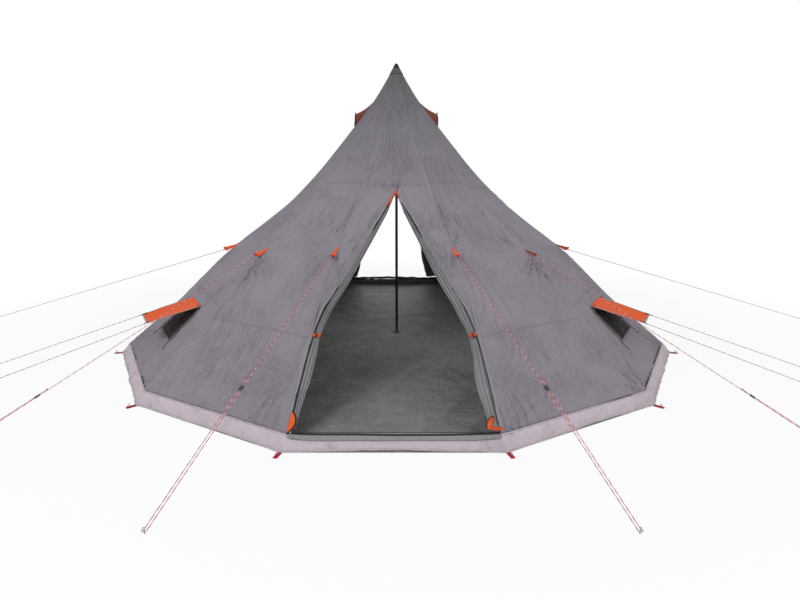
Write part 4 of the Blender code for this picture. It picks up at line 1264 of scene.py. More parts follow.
add_wall("front_wall", (0.0,))
add_wall("rear_wall", (180.0,))
for side_name, side_sign in SIDES:
    add_wall("front_side_wall_" + side_name, (30.0 * side_sign,))
    add_wall("window_wall_" + side_name, (WINDOW_GORE * side_sign,))
    add_wall("side_wall_" + side_name, (VENT_GORE * side_sign,))
    add_wall("rear_side_wall_" + side_name, (120.0 * side_sign, 150.0 * side_sign))

# Seam tapes

TAPE_HALF = 0.0085
TAPE_LIFT = 0.0007
TAPE_OFFSETS = np.array([-1.0, -0.6, -0.12, 0.12, 0.6, 1.0])
TAPE_ROWS = 140
FLAT_OFFSETS = np.array([-1.0, -0.5, 0.0, 0.5, 1.0])


def add_seam(index):
    """A tape astride a seam, with its crown on the seam."""
    seam = wrapped(GORE_HALF_ANGLE * (1.0 + 2.0 * index))
    heights = np.linspace(WALL_BOTTOM + 0.002, WALL_TOP - 0.03, TAPE_ROWS)
    columns = []
    for offset in TAPE_OFFSETS:
        middle = wrapped(seam + math.copysign(GORE_HALF_ANGLE, offset))
        across = TAPE_HALF * offset * np.minimum(1.0, seam_radius(heights) * 3.0)
        _, width = gore_base(middle, np.full(TAPE_ROWS, 0.5), heights)
        share = across / width + float(offset < 0.0)
        columns.append(skin(middle, share, heights, TAPE_LIFT * (1.6 - abs(offset)))[0])
    uvs = paired(TAPE_OFFSETS[None, :] * TAPE_HALF, slope_length(heights)[:, None])
    made = add_grid("seam_tape_%02d" % index, np.stack(columns, 1), uvs)
    thicken(made, 0.0007)
    dress(made, "tape", "canopy")


for seam_index in range(12):
    add_seam(seam_index)

CROSS_HALF = 0.0052
CROSS_LIFT = 0.0005
TAPE_LEAN = 0.9
CROSS_SEAMS = (
    (30.0, 1.41), (60.0, 1.36), (90.0, 1.40), (120.0, 1.36), (150.0, 1.43),
    (30.0, 0.490), (60.0, 0.56), (90.0, 0.50), (120.0, 0.56), (150.0, 0.52),
)


def cross_seam(middle, height, count):
    shares = np.linspace(0.012, 0.988, count)
    heights = height + 0.006 * np.sin(math.pi * shares)
    centre, _ = skin(middle, shares, heights, CROSS_LIFT)
    outward = unit(direction(middle) + UP * TAPE_LEAN)
    lift = CROSS_LIFT * (0.5 - np.abs(FLAT_OFFSETS))
    return tape_mesh(centre, outward, FLAT_OFFSETS, CROSS_HALF, lift)


def add_cross_seams(name, sign, door):
    """Seams that run across the gores, where their panels are sewn together."""
    strips = [cross_seam(middle * sign, height, 90) for middle, height in CROSS_SEAMS]
    made = joined("cross_seams_" + name, strips + [cross_seam(door, 1.392, 60)])
    thicken(made, 0.0006)
    dress(made, "fell", "canopy")


add_cross_seams("left", -1.0, 0.0)
add_cross_seams("right", 1.0, 180.0)

# Skirt


def ring_share(azimuth):
    """Across one side of the twelve, from -1 to 1."""
    past = (np.asarray(azimuth) - GORE_HALF_ANGLE) % (2.0 * GORE_HALF_ANGLE)
    return past / GORE_HALF_ANGLE - 1.0


def polygon_radius(azimuth, corner):
    local = np.radians(ring_share(azimuth) * GORE_HALF_ANGLE)
    return corner * math.cos(HALF_GORE) / np.cos(local)


def skirt_corner(height):
    return RADIUS - SKIRT_LEAN * (height - SKIRT_BOTTOM) / (SKIRT_TOP - SKIRT_BOTTOM)


SKIRT_NOISE = noise(31)
SKIRT_FOLDS = noise(32)
SIDE_LENGTH = 1.242
SKIRT_SLOPE = 0.108


def skirt_point(azimuth, share, lift=0.0):
    """Share runs down from the top edge (0) to the hem (1)."""
    azimuth, share = np.broadcast_arrays(np.asarray(azimuth, float), np.asarray(share, float))
    place = ring_share(azimuth)
    from_front = (azimuth + 180.0) % 360.0 - 180.0
    along = from_front / 30.0 * SIDE_LENGTH
    calm = np.clip((180.0 - np.abs(from_front)) / 5.0, 0.0, 1.0)
    inside = 1.0 - np.abs(place) ** 4
    uneven = 0.55 + 0.45 * calm * SKIRT_NOISE(along * 2.2, 3.0)
    hem = 0.0105 * (1.0 - np.abs(place) ** 2.2) * uneven
    hem = hem + 0.0018 * calm * SKIRT_FOLDS(along * 17.0, 1.0) * inside
    bottom = SKIRT_BOTTOM + 0.0006 + np.maximum(hem, 0.0)
    height = SKIRT_TOP + (bottom - SKIRT_TOP) * share
    radius = polygon_radius(azimuth, skirt_corner(height))
    puff = SKIRT_NOISE(along * 3.1, share * 1.5 + 9.0)
    puff = 0.0065 * calm * np.sin(math.pi * np.clip(share, 0.0, 1.0)) * puff
    folds = fold(SKIRT_FOLDS(along * 7.5 + share * 3.2 * place, share * 0.8 + 5.0))
    folds = 0.0050 * calm * (0.35 + share**0.7) * folds * inside + 0.0020
    corner = np.exp(-((1.0 - np.abs(place)) / 0.16)) * np.sin(share * 9.0 + along * 30.0) * 0.0028
    pucker = 0.0008 * calm * np.exp(-share / 0.12) * np.sin(along * 210.0)
    out = (puff + folds + corner + pucker) * np.minimum(1.0, share / 0.10 + 0.12)
    banded = np.clip((15.2 - np.abs(from_front)) / 1.2, 0.0, 1.0)
    banded = banded * np.clip((0.62 - share) / 0.20, 0.0, 1.0)
    out = np.maximum(out * (1.0 - 0.95 * banded), -0.0002) + lift + 0.0008
    return direction(azimuth) * (radius + out)[..., None] + UP * (height + 0.4 * out)[..., None]


def add_skirt():
    azimuths = np.linspace(-180.0, 180.0, 12 * 72 + 1)
    shares = np.linspace(0.0, 1.0, 15)[::-1, None]
    along = azimuths[None, :] / 30.0 * SIDE_LENGTH
    made = add_grid("skirt", skirt_point(azimuths[None, :], shares),
                    paired(along, shares * SKIRT_SLOPE))
    thicken(made, 0.0014, 1)
    dress(made, "skirt skirt_back", "skirt", "tent", "skirt")
    across = np.array([-0.006, 0.0, 0.006])[:, None]
    for label, rows in (("skirt_hem", (0.99, 0.93, 0.87)), ("skirt_top_band", (0.10, 0.05, 0.0))):
        strip = skirt_point(azimuths[None, :], np.array(rows)[:, None], 0.0011)
        band = add_grid(label, strip, paired(across, along))
        thicken(band, 0.0008)
        dress(band, "skirt_hem", "skirt")


add_skirt()

# Groundsheet

CREASE_A = noise(41)
CREASE_B = noise(42)
CREASE_C = noise(43)


def floor_height(x, y):
    """Creases of the sheet above the ground; it lies flat under the pole's foot."""
    radius = np.hypot(x, y)
    turn = math.radians(28.0)
    u, v = x * math.cos(turn) + y * math.sin(turn), -x * math.sin(turn) + y * math.cos(turn)
    out = 0.0090 * ridges(CREASE_A(u * 0.9 + 5.0, v * 3.4), 4.0)
    out = out + 0.0080 * ridges(CREASE_B(u * 3.0, v * 0.8 + 3.0), 5.0)
    out = out + 0.0080 * np.maximum(CREASE_C(x * 1.7, y * 1.7), 0.0)
    out = out + 0.0050 * ridges(CREASE_C(x * 3.6 + 9.0 + 0.5 * CREASE_B(x, y * 2.0), y * 4.2), 3.0)
    out = out + 0.0036 * ridges(CREASE_A(x * 8.0 + 9.0, y * 9.0), 2.5)
    front = np.clip((-0.7 - y) / 0.8, 0.0, 1.0)
    beside = 0.80 * x - 0.60 * y + 0.05 * CREASE_B(x * 2.0, y * 2.0)
    out = out + 0.0130 * front * ridges(CREASE_A(beside * 5.5, (x + y) * 0.9 + 2.0), 3.0)
    angle = np.arctan2(y, x)
    star = ridges(CREASE_A(angle * 3.2 + 9.0, radius * 0.5), 5.0)
    out = out + 0.0050 * star * np.exp(-((radius - 0.9) ** 2) / 0.6)
    for place, lines, sway, rate in ((x, (-1.2, -0.4, 0.4, 1.2), 0.02 * np.sin(y * 3.0), 0.0026),
                                     (y, (-1.5, -0.75, 0.0, 0.75, 1.5),
                                      0.015 * np.sin(x * 2.6), 0.0024)):
        for line in lines:
            out = out + rate * np.exp(-np.abs(place - line - sway) / 0.010)
    return out * np.clip((radius - 0.06) / 0.12, 0.0, 1.0)


FLOOR_LEVEL = 0.0016
RIM_TOP = 0.072
EDGE_ROOM = 0.0055
RIM_ROOM = 0.0012
RIM_SHARES = (0.12, 0.35, 0.6, 0.85, 1.0)


def face_up(made, recalculate=False):
    """Turns a sheet so that its outer side looks up."""
    built = bmesh.new()
    built.from_mesh(made.data)
    if recalculate:
        bmesh.ops.recalc_face_normals(built, faces=built.faces)
    for face in built.faces:
        face.normal_update()
    if sum(f.normal.z * f.calc_area() for f in built.faces) < 0.0:
        bmesh.ops.reverse_faces(built, faces=built.faces)
    built.to_mesh(made.data)
    built.free()


def add_groundsheet():
    azimuths = np.linspace(0.0, 360.0, 12 * 44, endpoint=False)
    edge_corner = skirt_corner(SKIRT_BOTTOM) - CLOTH - SEAT - EDGE_ROOM
    rim_corner = skirt_corner(RIM_TOP) - CLOTH - SEAT - RIM_ROOM
    shares = np.concatenate([np.linspace(0.012, 0.995, 170), [1.0]])
    edge = polygon_radius(azimuths, edge_corner)
    radius = shares[:, None] * edge[None, :]
    place = direction(azimuths)[None] * radius[..., None]
    height = floor_height(place[..., 0], place[..., 1])
    place[..., 2] = FLOOR_LEVEL + height * np.clip((edge[None, :] - radius) / 0.05, 0.0, 1.0)
    rows = [place]
    for portion in RIM_SHARES:
        corner = edge_corner + (rim_corner - edge_corner) * portion
        sway = 0.0012 * np.sin(np.radians(azimuths) * 53.0) * math.sin(math.pi * portion)
        out = polygon_radius(azimuths, corner) - 0.0014 + np.minimum(sway, 0.0)
        ring = direction(azimuths) * out[:, None]
        ring[:, 2] = FLOOR_LEVEL + (RIM_TOP - FLOOR_LEVEL) * portion
        rows.append(ring[None])
    points = np.concatenate(rows)
    columns = points.shape[1]
    faces = grid_faces(*points.shape[:2], around=True)
    points = points.reshape(-1, 3)
    faces += [[len(points), (c + 1) % columns, c] for c in range(columns)]
    points = np.concatenate([points, [[0.0, 0.0, FLOOR_LEVEL]]])
    made = add_mesh("groundsheet", points, [f[::-1] for f in faces], points[:, :2])
    face_up(made, recalculate=True)
    thicken(made, 0.0012)
    dress(made, "floor", "floor", "tent", "groundsheet")


add_groundsheet()

PATCH_PROFILE = (
    (0.014, 0.0078), (0.030, 0.0078), (0.034, 0.0076), (0.0385, 0.0062), (0.0415, 0.0035),
    (0.043, 0.0018),
)


def add_patch():
    """The rubber disc under the pole, with a raised rim."""
    count = 48
    turn = np.linspace(0.0, 360.0, count, endpoint=False)
    points = np.array([direction(turn) * r + UP * z for r, z in PATCH_PROFILE])
    faces = grid_faces(len(points), count, around=True, flip=True)
    points = np.concatenate([points.reshape(-1, 3), [[0.0, 0.0, PATCH_PROFILE[0][1]]]])
    faces += [[len(points) - 1, c, (c + 1) % count] for c in range(count)]
    made = add_mesh("pole_patch", points, faces, points[:, :2])
    thicken(made, 0.0015)
    dress(made, "black", "black")


add_patch()


def hook_profile(low, middle, top, bend, steps, tip):
    """A peg up its stem and round its hook, as (distance, height)."""
    turns = [math.pi * step / steps for step in range(1, steps + 1)]
    hook = [(bend - bend * math.cos(a), top - bend + bend * math.sin(a)) for a in turns]
    return [(0.0, low), (0.0, middle), (0.0, top - bend), *hook, (2.0 * bend, tip)]


LOOP_REACH = RADIUS + 0.060
LOOP_HALF = 0.011
LOOP_THICK = 0.0011
LOOP_OFFSETS = (-1.0, -0.92, -0.4, 0.4, 0.92, 1.0)
LOOP_PROFILE = (
    (RADIUS - 0.055, 0.0052), (RADIUS - 0.02, 0.0050), (RADIUS + 0.010, 0.0062),
    (RADIUS + 0.035, 0.0060), (LOOP_REACH - 0.006, 0.0058), (LOOP_REACH - 0.0016, 0.0050),
    (LOOP_REACH, 0.0036), (LOOP_REACH - 0.0016, 0.0020), (LOOP_REACH - 0.006, 0.0012),
    (RADIUS + 0.030, 0.0011), (RADIUS - 0.020, 0.0012), (RADIUS - 0.055, 0.0014),
)
STEM = LOOP_REACH - 0.023
CORNER_PEG = hook_profile(0.0012, 0.010, 0.026, 0.005, 8, 0.012)
CORNER_WIRE = 0.0024
EYE = 0.0052
EYE_WIRE = 0.0010
EYE_LEVEL = 0.0066


def add_loops():
    """Red webbing loops at the corners, folded back on themselves, with wire pegs."""
    webs, wires, eyes = [], [], []
    for index in range(12):
        azimuth = GORE_HALF_ANGLE * (1.0 + 2.0 * index)
        outward, across = direction(azimuth), lateral(azimuth)
        centre = np.array([outward * r + UP * z for r, z in LOOP_PROFILE])
        normal = unit(np.cross(across, unit(np.gradient(centre, axis=0))))
        u = np.array(LOOP_OFFSETS) * LOOP_HALF
        web = centre[:, None] + across[None, None] * u[None, :, None]
        uvs = paired(u[None, :], distances(centre)[:, None])
        webs.append(slab(web, web - normal[:, None] * LOOP_THICK, uvs))
        wire = np.array([outward * (STEM + r) + UP * z for r, z in CORNER_PEG])
        wires.append(tube_mesh(wire, CORNER_WIRE, 10, up=across))
        turn = np.linspace(0.0, 2.0 * math.pi, 25)[:, None]
        eye = outward * (STEM + EYE * np.cos(turn)) + across * (EYE * np.sin(turn))
        eyes.append(tube_mesh(eye + UP * EYE_LEVEL, EYE_WIRE, 8, capped=False))
    dress(joined("corner_loops", webs), "red_tape", "orange")
    dress(joined("corner_pegs", wires), "peg", "peg")
    dress(joined("loop_eyes", eyes), "black", "black")


add_loops()

# Pole and cap

for node_name in ("pole_lower", "pole_middle", "pole_upper"):
    paint(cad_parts[node_name], LOOKS["pole"])


CAP_LOW = WALL_TOP - 0.046
CAP_ROUND = PEAK - 0.0160
CAP_TIP = ((0.0002, 0.0004), (0.0060, 0.0010), (0.0115, 0.0036), (0.0150, 0.0085))
CAP_RADIUS = 0.0185
CAP_EASE = 0.0040


def cap_profile():
    """(Radius, height) from the tip down."""
    found = [(radius, PEAK - drop) for radius, drop in CAP_TIP]
    foot = float(seam_radius(WALL_TOP)) + CAP_EASE
    for share in np.linspace(0.0, 1.0, 22):
        height = CAP_ROUND + (CAP_LOW - CAP_ROUND) * share
        radius = float(seam_radius(min(height, WALL_TOP))) + CAP_EASE
        if height > WALL_TOP:
            down = (CAP_ROUND - height) / (CAP_ROUND - WALL_TOP)
            radius = CAP_RADIUS + (foot - CAP_RADIUS) * down
        found.append((radius, height))
    return np.array(found)


def add_cap():
    """A sewn cap of black cloth over the pole's tip and the canopy's end."""
    profile = cap_profile()
    turn = np.linspace(0.0, 360.0, 144, endpoint=False)
    ring = []
    for radius, height in profile:
        sided = min(1.0, max(0.0, (PEAK - height) / 0.05))
        size = radius * 0.98 * (1.0 - sided) + polygon_radius(turn, radius) * sided
        size = size * (1.0 + 0.012 * np.cos(np.radians(turn) * 12.0 * 3.0) * sided)
        ring.append(direction(turn) * size[:, None] + UP * height)
    uvs = paired(np.radians(turn)[None, :] * 0.04, distances(profile)[:, None])
    made = add_grid("peak_cap", np.array(ring), uvs, around=True, flip=True)
    thicken(made, 0.0014)
    dress(made, "cap", "black", "tent", "peak_cap")


add_cap()

# Door flaps

FLAP_TABLES = {
    ("front", -1.0): (
        (1.00, 0.26), (0.80, 0.42), (0.55, 0.54), (0.44, 0.50), (0.342, 0.42),
        (0.28, 0.54), (0.20, 0.56), (0.10, 0.46), (0.0, 0.38),
    ),
    ("front", 1.0): (
        (1.00, 0.26), (0.80, 0.46), (0.55, 0.70), (0.44, 0.68), (0.342, 0.48),
        (0.27, 0.56), (0.16, 0.76), (0.0, 0.62),
    ),
    ("rear", 1.0): (
        (1.00, 0.26), (0.80, 0.46), (0.55, 0.66), (0.44, 0.62), (0.342, 0.44),
        (0.29, 0.58), (0.18, 0.72), (0.0, 0.42),
    ),
    ("rear", -1.0): (
        (1.00, 0.30), (0.80, 0.90), (0.55, 1.55), (0.42, 2.00), (0.342, 2.22),
        (0.27, 2.30), (0.16, 2.34), (0.0, 2.30),
    ),
}
FLAP_TABLES = {key: smooth_table(table) for key, table in FLAP_TABLES.items()}
FLAP_BOTTOM = {"front": 0.100, "rear": 0.132}
FLAP_SEED = {"front": 51, "rear": 53}
FLAP_HEAD = DOOR_TOP - 0.090
FLAP_WIDTH = 0.092
FLAP_DEPTH = 0.019
FLAP_FRONT = 0.56
FLAP_INSET = 0.0045
ZIP_ROOM = 0.003


def flap_outline(door, side, height):
    """The flap's outer edge, its width and how far the tie pinches it."""
    bottom = FLAP_BOTTOM[door]
    share = (height - bottom) / (FLAP_HEAD - bottom)
    pinch = np.exp(-(((height - TIE_HEIGHT) / (TIE_BAND * 2.6)) ** 2))
    width = FLAP_TABLES[door, side](np.clip(share, 0.0, 1.0)) * FLAP_WIDTH
    width = width * np.clip((DOOR_TOP - height) / 0.14, 0.25, 1.0)
    room = ZIP_ROOM * np.clip((DOOR_TOP - height) / 0.30, 0.0, 1.0)
    return door_half(height) - 0.0012 - 0.006 * pinch - room * (1.0 - pinch), width, pinch


def flap_mesh(door, side):
    """Gathered cloth hung from the door's edge, folded behind itself, drawn in at the tie."""
    azimuth, bottom = 0.0 if door == "front" else 180.0, FLAP_BOTTOM[door]
    heights = np.linspace(DOOR_TOP - 0.052, bottom, 130)[:, None]
    length = np.linspace(0.0, 1.0, 132)[None, :]
    ahead = np.minimum(length / FLAP_FRONT, 1.0)
    behind = np.clip((length - FLAP_FRONT) / (1.0 - FLAP_FRONT), 0.0, 1.0)
    portion = ahead - (0.30 if (door, side) == ("rear", -1.0) else 0.86) * behind
    share = (heights - bottom) / (FLAP_HEAD - bottom)
    outer, width, pinch = flap_outline(door, side, heights)
    loose = 1.0 - pinch
    swell = noise(FLAP_SEED[door])
    wander = 0.20 * swell(heights * 2.4, ahead * 1.7 + 7.0)
    wander = wander + 0.05 * swell(heights * 7.0 + 5.0, ahead * 4.0)
    pleats = np.maximum(2.6, width / 0.045)
    front = 1.0 - 1.9 * np.abs(np.cos(math.pi * (pleats * ahead + wander) + 0.7)) ** 1.2
    front = front * (0.66 + 0.34 * swell(ahead * 3.0 + 3.0, heights * 1.3))
    back = np.cos(math.pi * (5.0 * behind + 1.4 * wander))
    depth = FLAP_DEPTH * (1.0 - 0.55 * pinch) * np.clip(width / 0.040, 0.3, 1.0)
    depth = depth * np.clip(0.55 + share * 2.5, 0.0, 1.0)
    ends = np.clip(ahead * 9.0, 0.0, 1.0) * np.clip((1.0 - ahead) * 9.0 + 0.2, 0.0, 1.0)
    back = -depth * (1.35 + 0.60 * back) * np.minimum(behind * 9.0, 1.0)
    swing = np.where(behind > 0.0, back, -depth * front * ends * 0.75)
    swing = swing + 0.0014 * swell(heights * 22.0, ahead * 7.0)
    edge = 0.10 * swell(heights * 7.0, float(FLAP_SEED[door]))
    edge = edge * loose * np.clip((0.50 - share) / 0.2, 0.0, 1.0)
    x = outer - width * np.clip(portion, 0.0, 1.0) * (1.0 + edge)
    out = wall_distance(0.0, outer, heights) - FLAP_INSET + swing
    out = out + 0.003 * np.sin(math.pi * portion) * loose
    level = heights + 0.004 * swell(ahead * 9.0, 1.0) * (1.0 - share)
    points = lateral(azimuth) * side * x[..., None] + direction(azimuth) * out[..., None]
    return points + UP * level[..., None], paired(length * 0.40, -heights)


def add_flap(name, door, side):
    made = add_grid(name, *flap_mesh(door, side), flip=side < 0.0)
    thicken(made, 0.0011, 1, 0.0)
    # The rear flaps take the outer colour on their backs as well, unlike the front flaps' darker
    # back: painted light that stands in for light coming through the cloth
    dress(made, "flap flap_back" if door == "front" else "flap flap", "canopy", "tent", name)


for side_name, side_sign in SIDES:
    add_flap("front_door_flap_" + side_name, "front", side_sign)
    add_flap("rear_door_flap_" + side_name, "rear", -side_sign)


def door_edge_path(side, azimuth, low, high, inset, lift, count):
    heights = np.linspace(low, high, count)
    share = share_at(azimuth, side * (door_half(heights) + inset), heights)
    return skin(azimuth, share, heights, lift)[0], heights


HEM_HALF = 0.0065
DOOR_LEAN = 0.8


def add_door_hems(label, azimuth, low):
    """Rolled hems along the door's edges, with the zip's dark tape inside them."""
    outward = unit(direction(azimuth) + UP * DOOR_LEAN)
    hems, tapes = [], []
    for side in (-1.0, 1.0):
        path, inner, coil = (
            door_edge_path(side, azimuth, low, DOOR_TOP - short, inset, lift, 160)[0]
            for short, inset, lift in ((0.004, 0.006, 0.0006), (0.012, -0.0018, -0.0024),
                                       (0.016, -0.0044, -0.0016))
        )
        crown = (0.0, 0.0011, 0.0016, 0.0011, 0.0)
        hems.append(tape_mesh(path, outward, (-1.0, -0.7, 0.0, 0.7, 1.0), HEM_HALF, crown))
        cross = unit(np.cross(unit(np.gradient(path, axis=0)), outward))
        tapes += [ribbon(inner, 0.0026, cross, 0.0010), tube_mesh(coil, 0.0014, 8)]
    made = joined("door_hem_" + label, hems)
    thicken(made, 0.0008)
    dress(made, "tape", "canopy")
    dress(joined("door_zip_" + label, tapes), "black_tape", "black")


add_door_hems("front", 0.0, WALL_BOTTOM + 0.002)
add_door_hems("rear", 180.0, REAR_SILL)

# Tie-backs: band, bow and toggle


def squared(wave, power):
    """A wave whose tops are the flatter, the lower the power."""
    return np.sign(wave) * np.abs(wave) ** power


def tie_frame(side):
    """The tie's centre, the flap's width there and its directions across, inward and along."""
    def centre(height):
        outer, width, _ = (float(v) for v in flap_outline("front", side, height))
        out = float(wall_distance(0.0, outer, height)) - FLAP_INSET
        return np.array([side * (outer - width / 2.0), -out, height]), width

    above, below = centre(TIE_HEIGHT + TIE_BAND)[0], centre(TIE_HEIGHT - TIE_BAND)[0]
    along = unit(above - below)
    inward = unit(np.cross(along, lateral(0.0)))
    return (*centre(TIE_HEIGHT), np.cross(inward, along), inward, along)


def add_tie(side, name):
    place, width, across, inward, along = tie_frame(side)
    half_width, half_depth = width / 2.0 + 0.0030, 0.0118
    turn = np.linspace(0.0, 2.0 * math.pi, 49)[:, None]
    x = squared(np.cos(turn), 0.75) * half_width
    y = squared(np.sin(turn), 0.75) * half_depth
    ring = place + across * x + inward * y + along * (0.0012 * np.sin(2.0 * turn))
    pieces = [ribbon(ring, 0.0088, along)]
    front = place - inward * (half_depth + 0.0022)
    t = np.linspace(0.0, 1.0, 30)[:, None]
    bow = np.sin(math.pi * t)
    for sign, long, rise in ((1.0, 0.026, 0.004), (-1.0, 0.022, -0.002)):
        path = front + across * (sign * long * bow**0.9) + along * (rise * bow)
        path = path - inward * (0.004 + 0.005 * np.sin(2.0 * math.pi * t))
        pieces.append(ribbon(path, 0.0065 + 0.0018 * bow[:, 0], along, 0.0009))
    t = np.linspace(0.0, 1.0, 14)[:, None]
    for sign, long, drop in ((1.0, 0.020, 0.014), (-1.0, 0.016, 0.018)):
        path = front - inward * (0.006 + 0.004 * np.sin(math.pi * t))
        path = path + across * (sign * long * t) - along * (drop * t * t)
        pieces.append(ribbon(path, 0.0062, along, 0.0009))
    made = joined("door_tie_" + name, pieces)
    dress(made, "orange_tape", "orange", "tent", "door_tie_" + name)
    toggle = front - inward * 0.010 + across * (-side * 0.002)
    t = np.linspace(-1.0, 1.0, 15)
    path = toggle + unit(along + across * 0.4 * side) * (0.015 * t)[:, None]
    waist = 1.0 - 0.25 * np.exp(-((t / 0.15) ** 2))
    radius = 0.0042 * np.sqrt(np.clip(1.06 - t**4, 0.05, 1.0)) * waist
    dress(add_tube("tie_toggle_" + name, path, radius, 14, up=inward), "black", "black")


for side_name, side_sign in SIDES:
    add_tie(side_sign, side_name)


def add_rear_tie(side, name):
    """A thin black tie round a rear flap."""
    outer, width, _ = (float(v) for v in flap_outline("rear", -side, TIE_HEIGHT))
    out = float(wall_distance(0.0, outer, TIE_HEIGHT)) - FLAP_INSET
    right, outward = lateral(180.0), direction(180.0)
    centre = right * -side * (outer - width / 2.0) + outward * out + UP * TIE_HEIGHT
    turn = np.linspace(0.0, 2.0 * math.pi, 41)[:, None]
    slope = unit(UP * 0.75 - outward * 0.62 + right * side * 0.45)
    inward = unit(np.cross(slope, right))
    across = np.cross(inward, slope)
    ring = centre + across * (np.cos(turn) * (width / 2.0 + 0.004))
    ring = ring + inward * (np.sin(turn) * 0.0125)
    made = joined("rear_tie_" + name, [ribbon(ring, 0.007, slope)])
    dress(made, "black_tape", "black")


for side_name, side_sign in SIDES:
    add_rear_tie(side_sign, side_name)

# Orange binding at the door's top and the corner pieces at its foot


def add_binding():
    pieces = []
    offsets, crown = (-1.0, -0.6, 0.0, 0.6, 1.0), (0.0, 0.0016, 0.0022, 0.0016, 0.0)
    outward = unit(direction(0.0) + UP * DOOR_LEAN)
    for side, low, count in ((-1.0, DOOR_TOP - 0.105, 40), (1.0, DOOR_TOP - 0.030, 16)):
        path, heights = door_edge_path(side, 0.0, low, DOOR_TOP + 0.012, 0.004, 0.0030, count)
        pieces.append(tape_mesh(path, outward, offsets, HEM_HALF, crown, heights))
    made = joined("door_top_binding", pieces)
    thicken(made, 0.0010)
    dress(made, "orange_tape", "orange")


add_binding()


def plane_point(x, height, depth):
    """A place at the front opening: depth is how far it stands inside the wall's plane."""
    return np.array([x, -float(wall_distance(0.0, x, max(height, WALL_BOTTOM))) + depth, height])


# The middle line of the right piece as (across, height, depth), and (share of it, half width)
CURL = (
    (0.560, 0.143, -0.010), (0.545, 0.142, -0.024), (0.528, 0.130, -0.032), (0.524, 0.117, -0.033),
    (0.538, 0.114, -0.030), (0.568, 0.110, -0.026), (0.600, 0.109, -0.022),
)
CURL_SHARES = (0.0, 0.16, 0.34, 0.55, 0.74, 0.90, 1.0)
CURL_HALVES = (0.0150, 0.0220, 0.0180, 0.0085, 0.0085, 0.0100, 0.0095)
CURL_ROWS = 70
CURL_EDGE = 34


def add_left_corner():
    """The curled orange facing that shows at the foot of the left door edge."""
    t = np.linspace(0.0, 1.0, 30)
    place = []
    for row in t:
        height = 0.172 - 0.086 * row
        outer = float(door_half(max(height, WALL_BOTTOM)))
        bow = 0.034 * math.sin(math.pi * min(row * 1.04, 1.0)) ** 0.8 + 0.003
        for s in np.linspace(0.0, 1.0, 14):
            depth = -0.010 - 0.016 * math.sin(math.pi * s * 0.85) * math.sin(math.pi * row)
            depth -= 0.0012 * math.sin(17.0 * s + 5.0 * row)
            place.append(plane_point(-(outer + 0.004 - bow * s), height, depth))
    place = np.array(place).reshape(30, 14, 3)
    uvs = paired(np.linspace(0.0, 0.05, 14)[None, :], t[:, None] * 0.16)
    made = add_grid("door_corner_left", place, uvs, flip=True)
    thicken(made, 0.0012, 1, 0.0)
    dress(made, "orange orange_back", "orange")
    rim = place[:, -1] + np.array([0.0, -0.0020, 0.0])
    edge = add_tube("door_corner_edge_left", rim, 0.0042, 10)
    dress(edge, "black_tape", "black")


def add_right_corner():
    """The facing at the foot of the right door edge, with its end curled over."""
    path = np.array([plane_point(*place) for place in smooth_path(CURL, CURL_ROWS)])
    widths = np.interp(np.linspace(0.0, 1.0, CURL_ROWS), CURL_SHARES, CURL_HALVES)
    across = unit(np.cross(unit(np.gradient(path, axis=0)), np.array([0.12, 1.0, 0.10])))
    made = joined("door_corner_right", [ribbon(path, widths, across, 0.0014)])
    dress(made, "orange", "orange")
    rim = path - across * (widths - 0.001)[:, None]
    dress(add_tube("door_corner_edge_right", rim[:CURL_EDGE], 0.0030, 8), "black_tape", "black")


add_left_corner()
add_right_corner()

# Sill band, zip and slider


def sill_distance(height):
    return skirt_corner(height) * math.cos(HALF_GORE) + SEAT


SILL_NOISE = noise(61)
SILL_TALL = 0.047
ZIP_LINE = np.array([0.0, -(sill_distance(SILL_TOP) + 0.0028), SILL_TOP + 0.0020])
TOOTH_PITCH = 0.0030


def sill_point(x, row):
    """On the band, with row from its lower edge (0) to its upper one (1)."""
    height = SILL_BOTTOM + (SILL_TOP - SILL_BOTTOM) * row
    out = sill_distance(height) + 0.0060
    out = out + 0.0024 * SILL_NOISE(x * 7.0, row * 2.6) * np.sin(math.pi * row)
    taper = 0.005 + 0.021 * (1.0 - np.clip((SILL_HALF - np.abs(x)) / 0.16, 0.0, 1.0)) ** 1.6
    lift = (taper + 0.0018 * SILL_NOISE(x * 5.0, 7.0)) * (1.0 - row)
    return paired(x, -out, height + lift)


def add_sill():
    rows = np.linspace(0.0, 1.0, 9)
    x = np.linspace(-SILL_HALF, SILL_HALF, 200)
    uvs = paired(x[None, :], rows[:, None] * SILL_TALL)
    made = add_grid("sill_zip", sill_point(x[None, :], rows[:, None]), uvs)
    thicken(made, 0.0014)
    dress(made, "flap", "canopy", "tent", "sill_zip")
    teeth = []
    for index, place in enumerate(np.arange(-SILL_HALF + 0.004, SILL_HALF - 0.003, TOOTH_PITCH)):
        shift = 0.0007 if index % 2 else -0.0007
        teeth.append(box_mesh(ZIP_LINE + (place, 0.0, shift), (0.0011, 0.0020, 0.0020), 0.0003))
    dress(joined("sill_zip_teeth", teeth, smooth=False), "black", "black")
    sag = 0.13 * (1.0 - (x / SILL_HALF) ** 2) + 0.03 * SILL_NOISE(x * 4.0, 11.0)
    line = sill_point(x, 0.88 - sag) + np.array([0.0, -0.76, 0.65]) * 0.0016
    made = joined("sill_zip_tape", [ribbon(line, 0.0050, np.array([0.0, 0.65, 0.76]), 0.0009)])
    dress(made, "black_tape", "black")


add_sill()

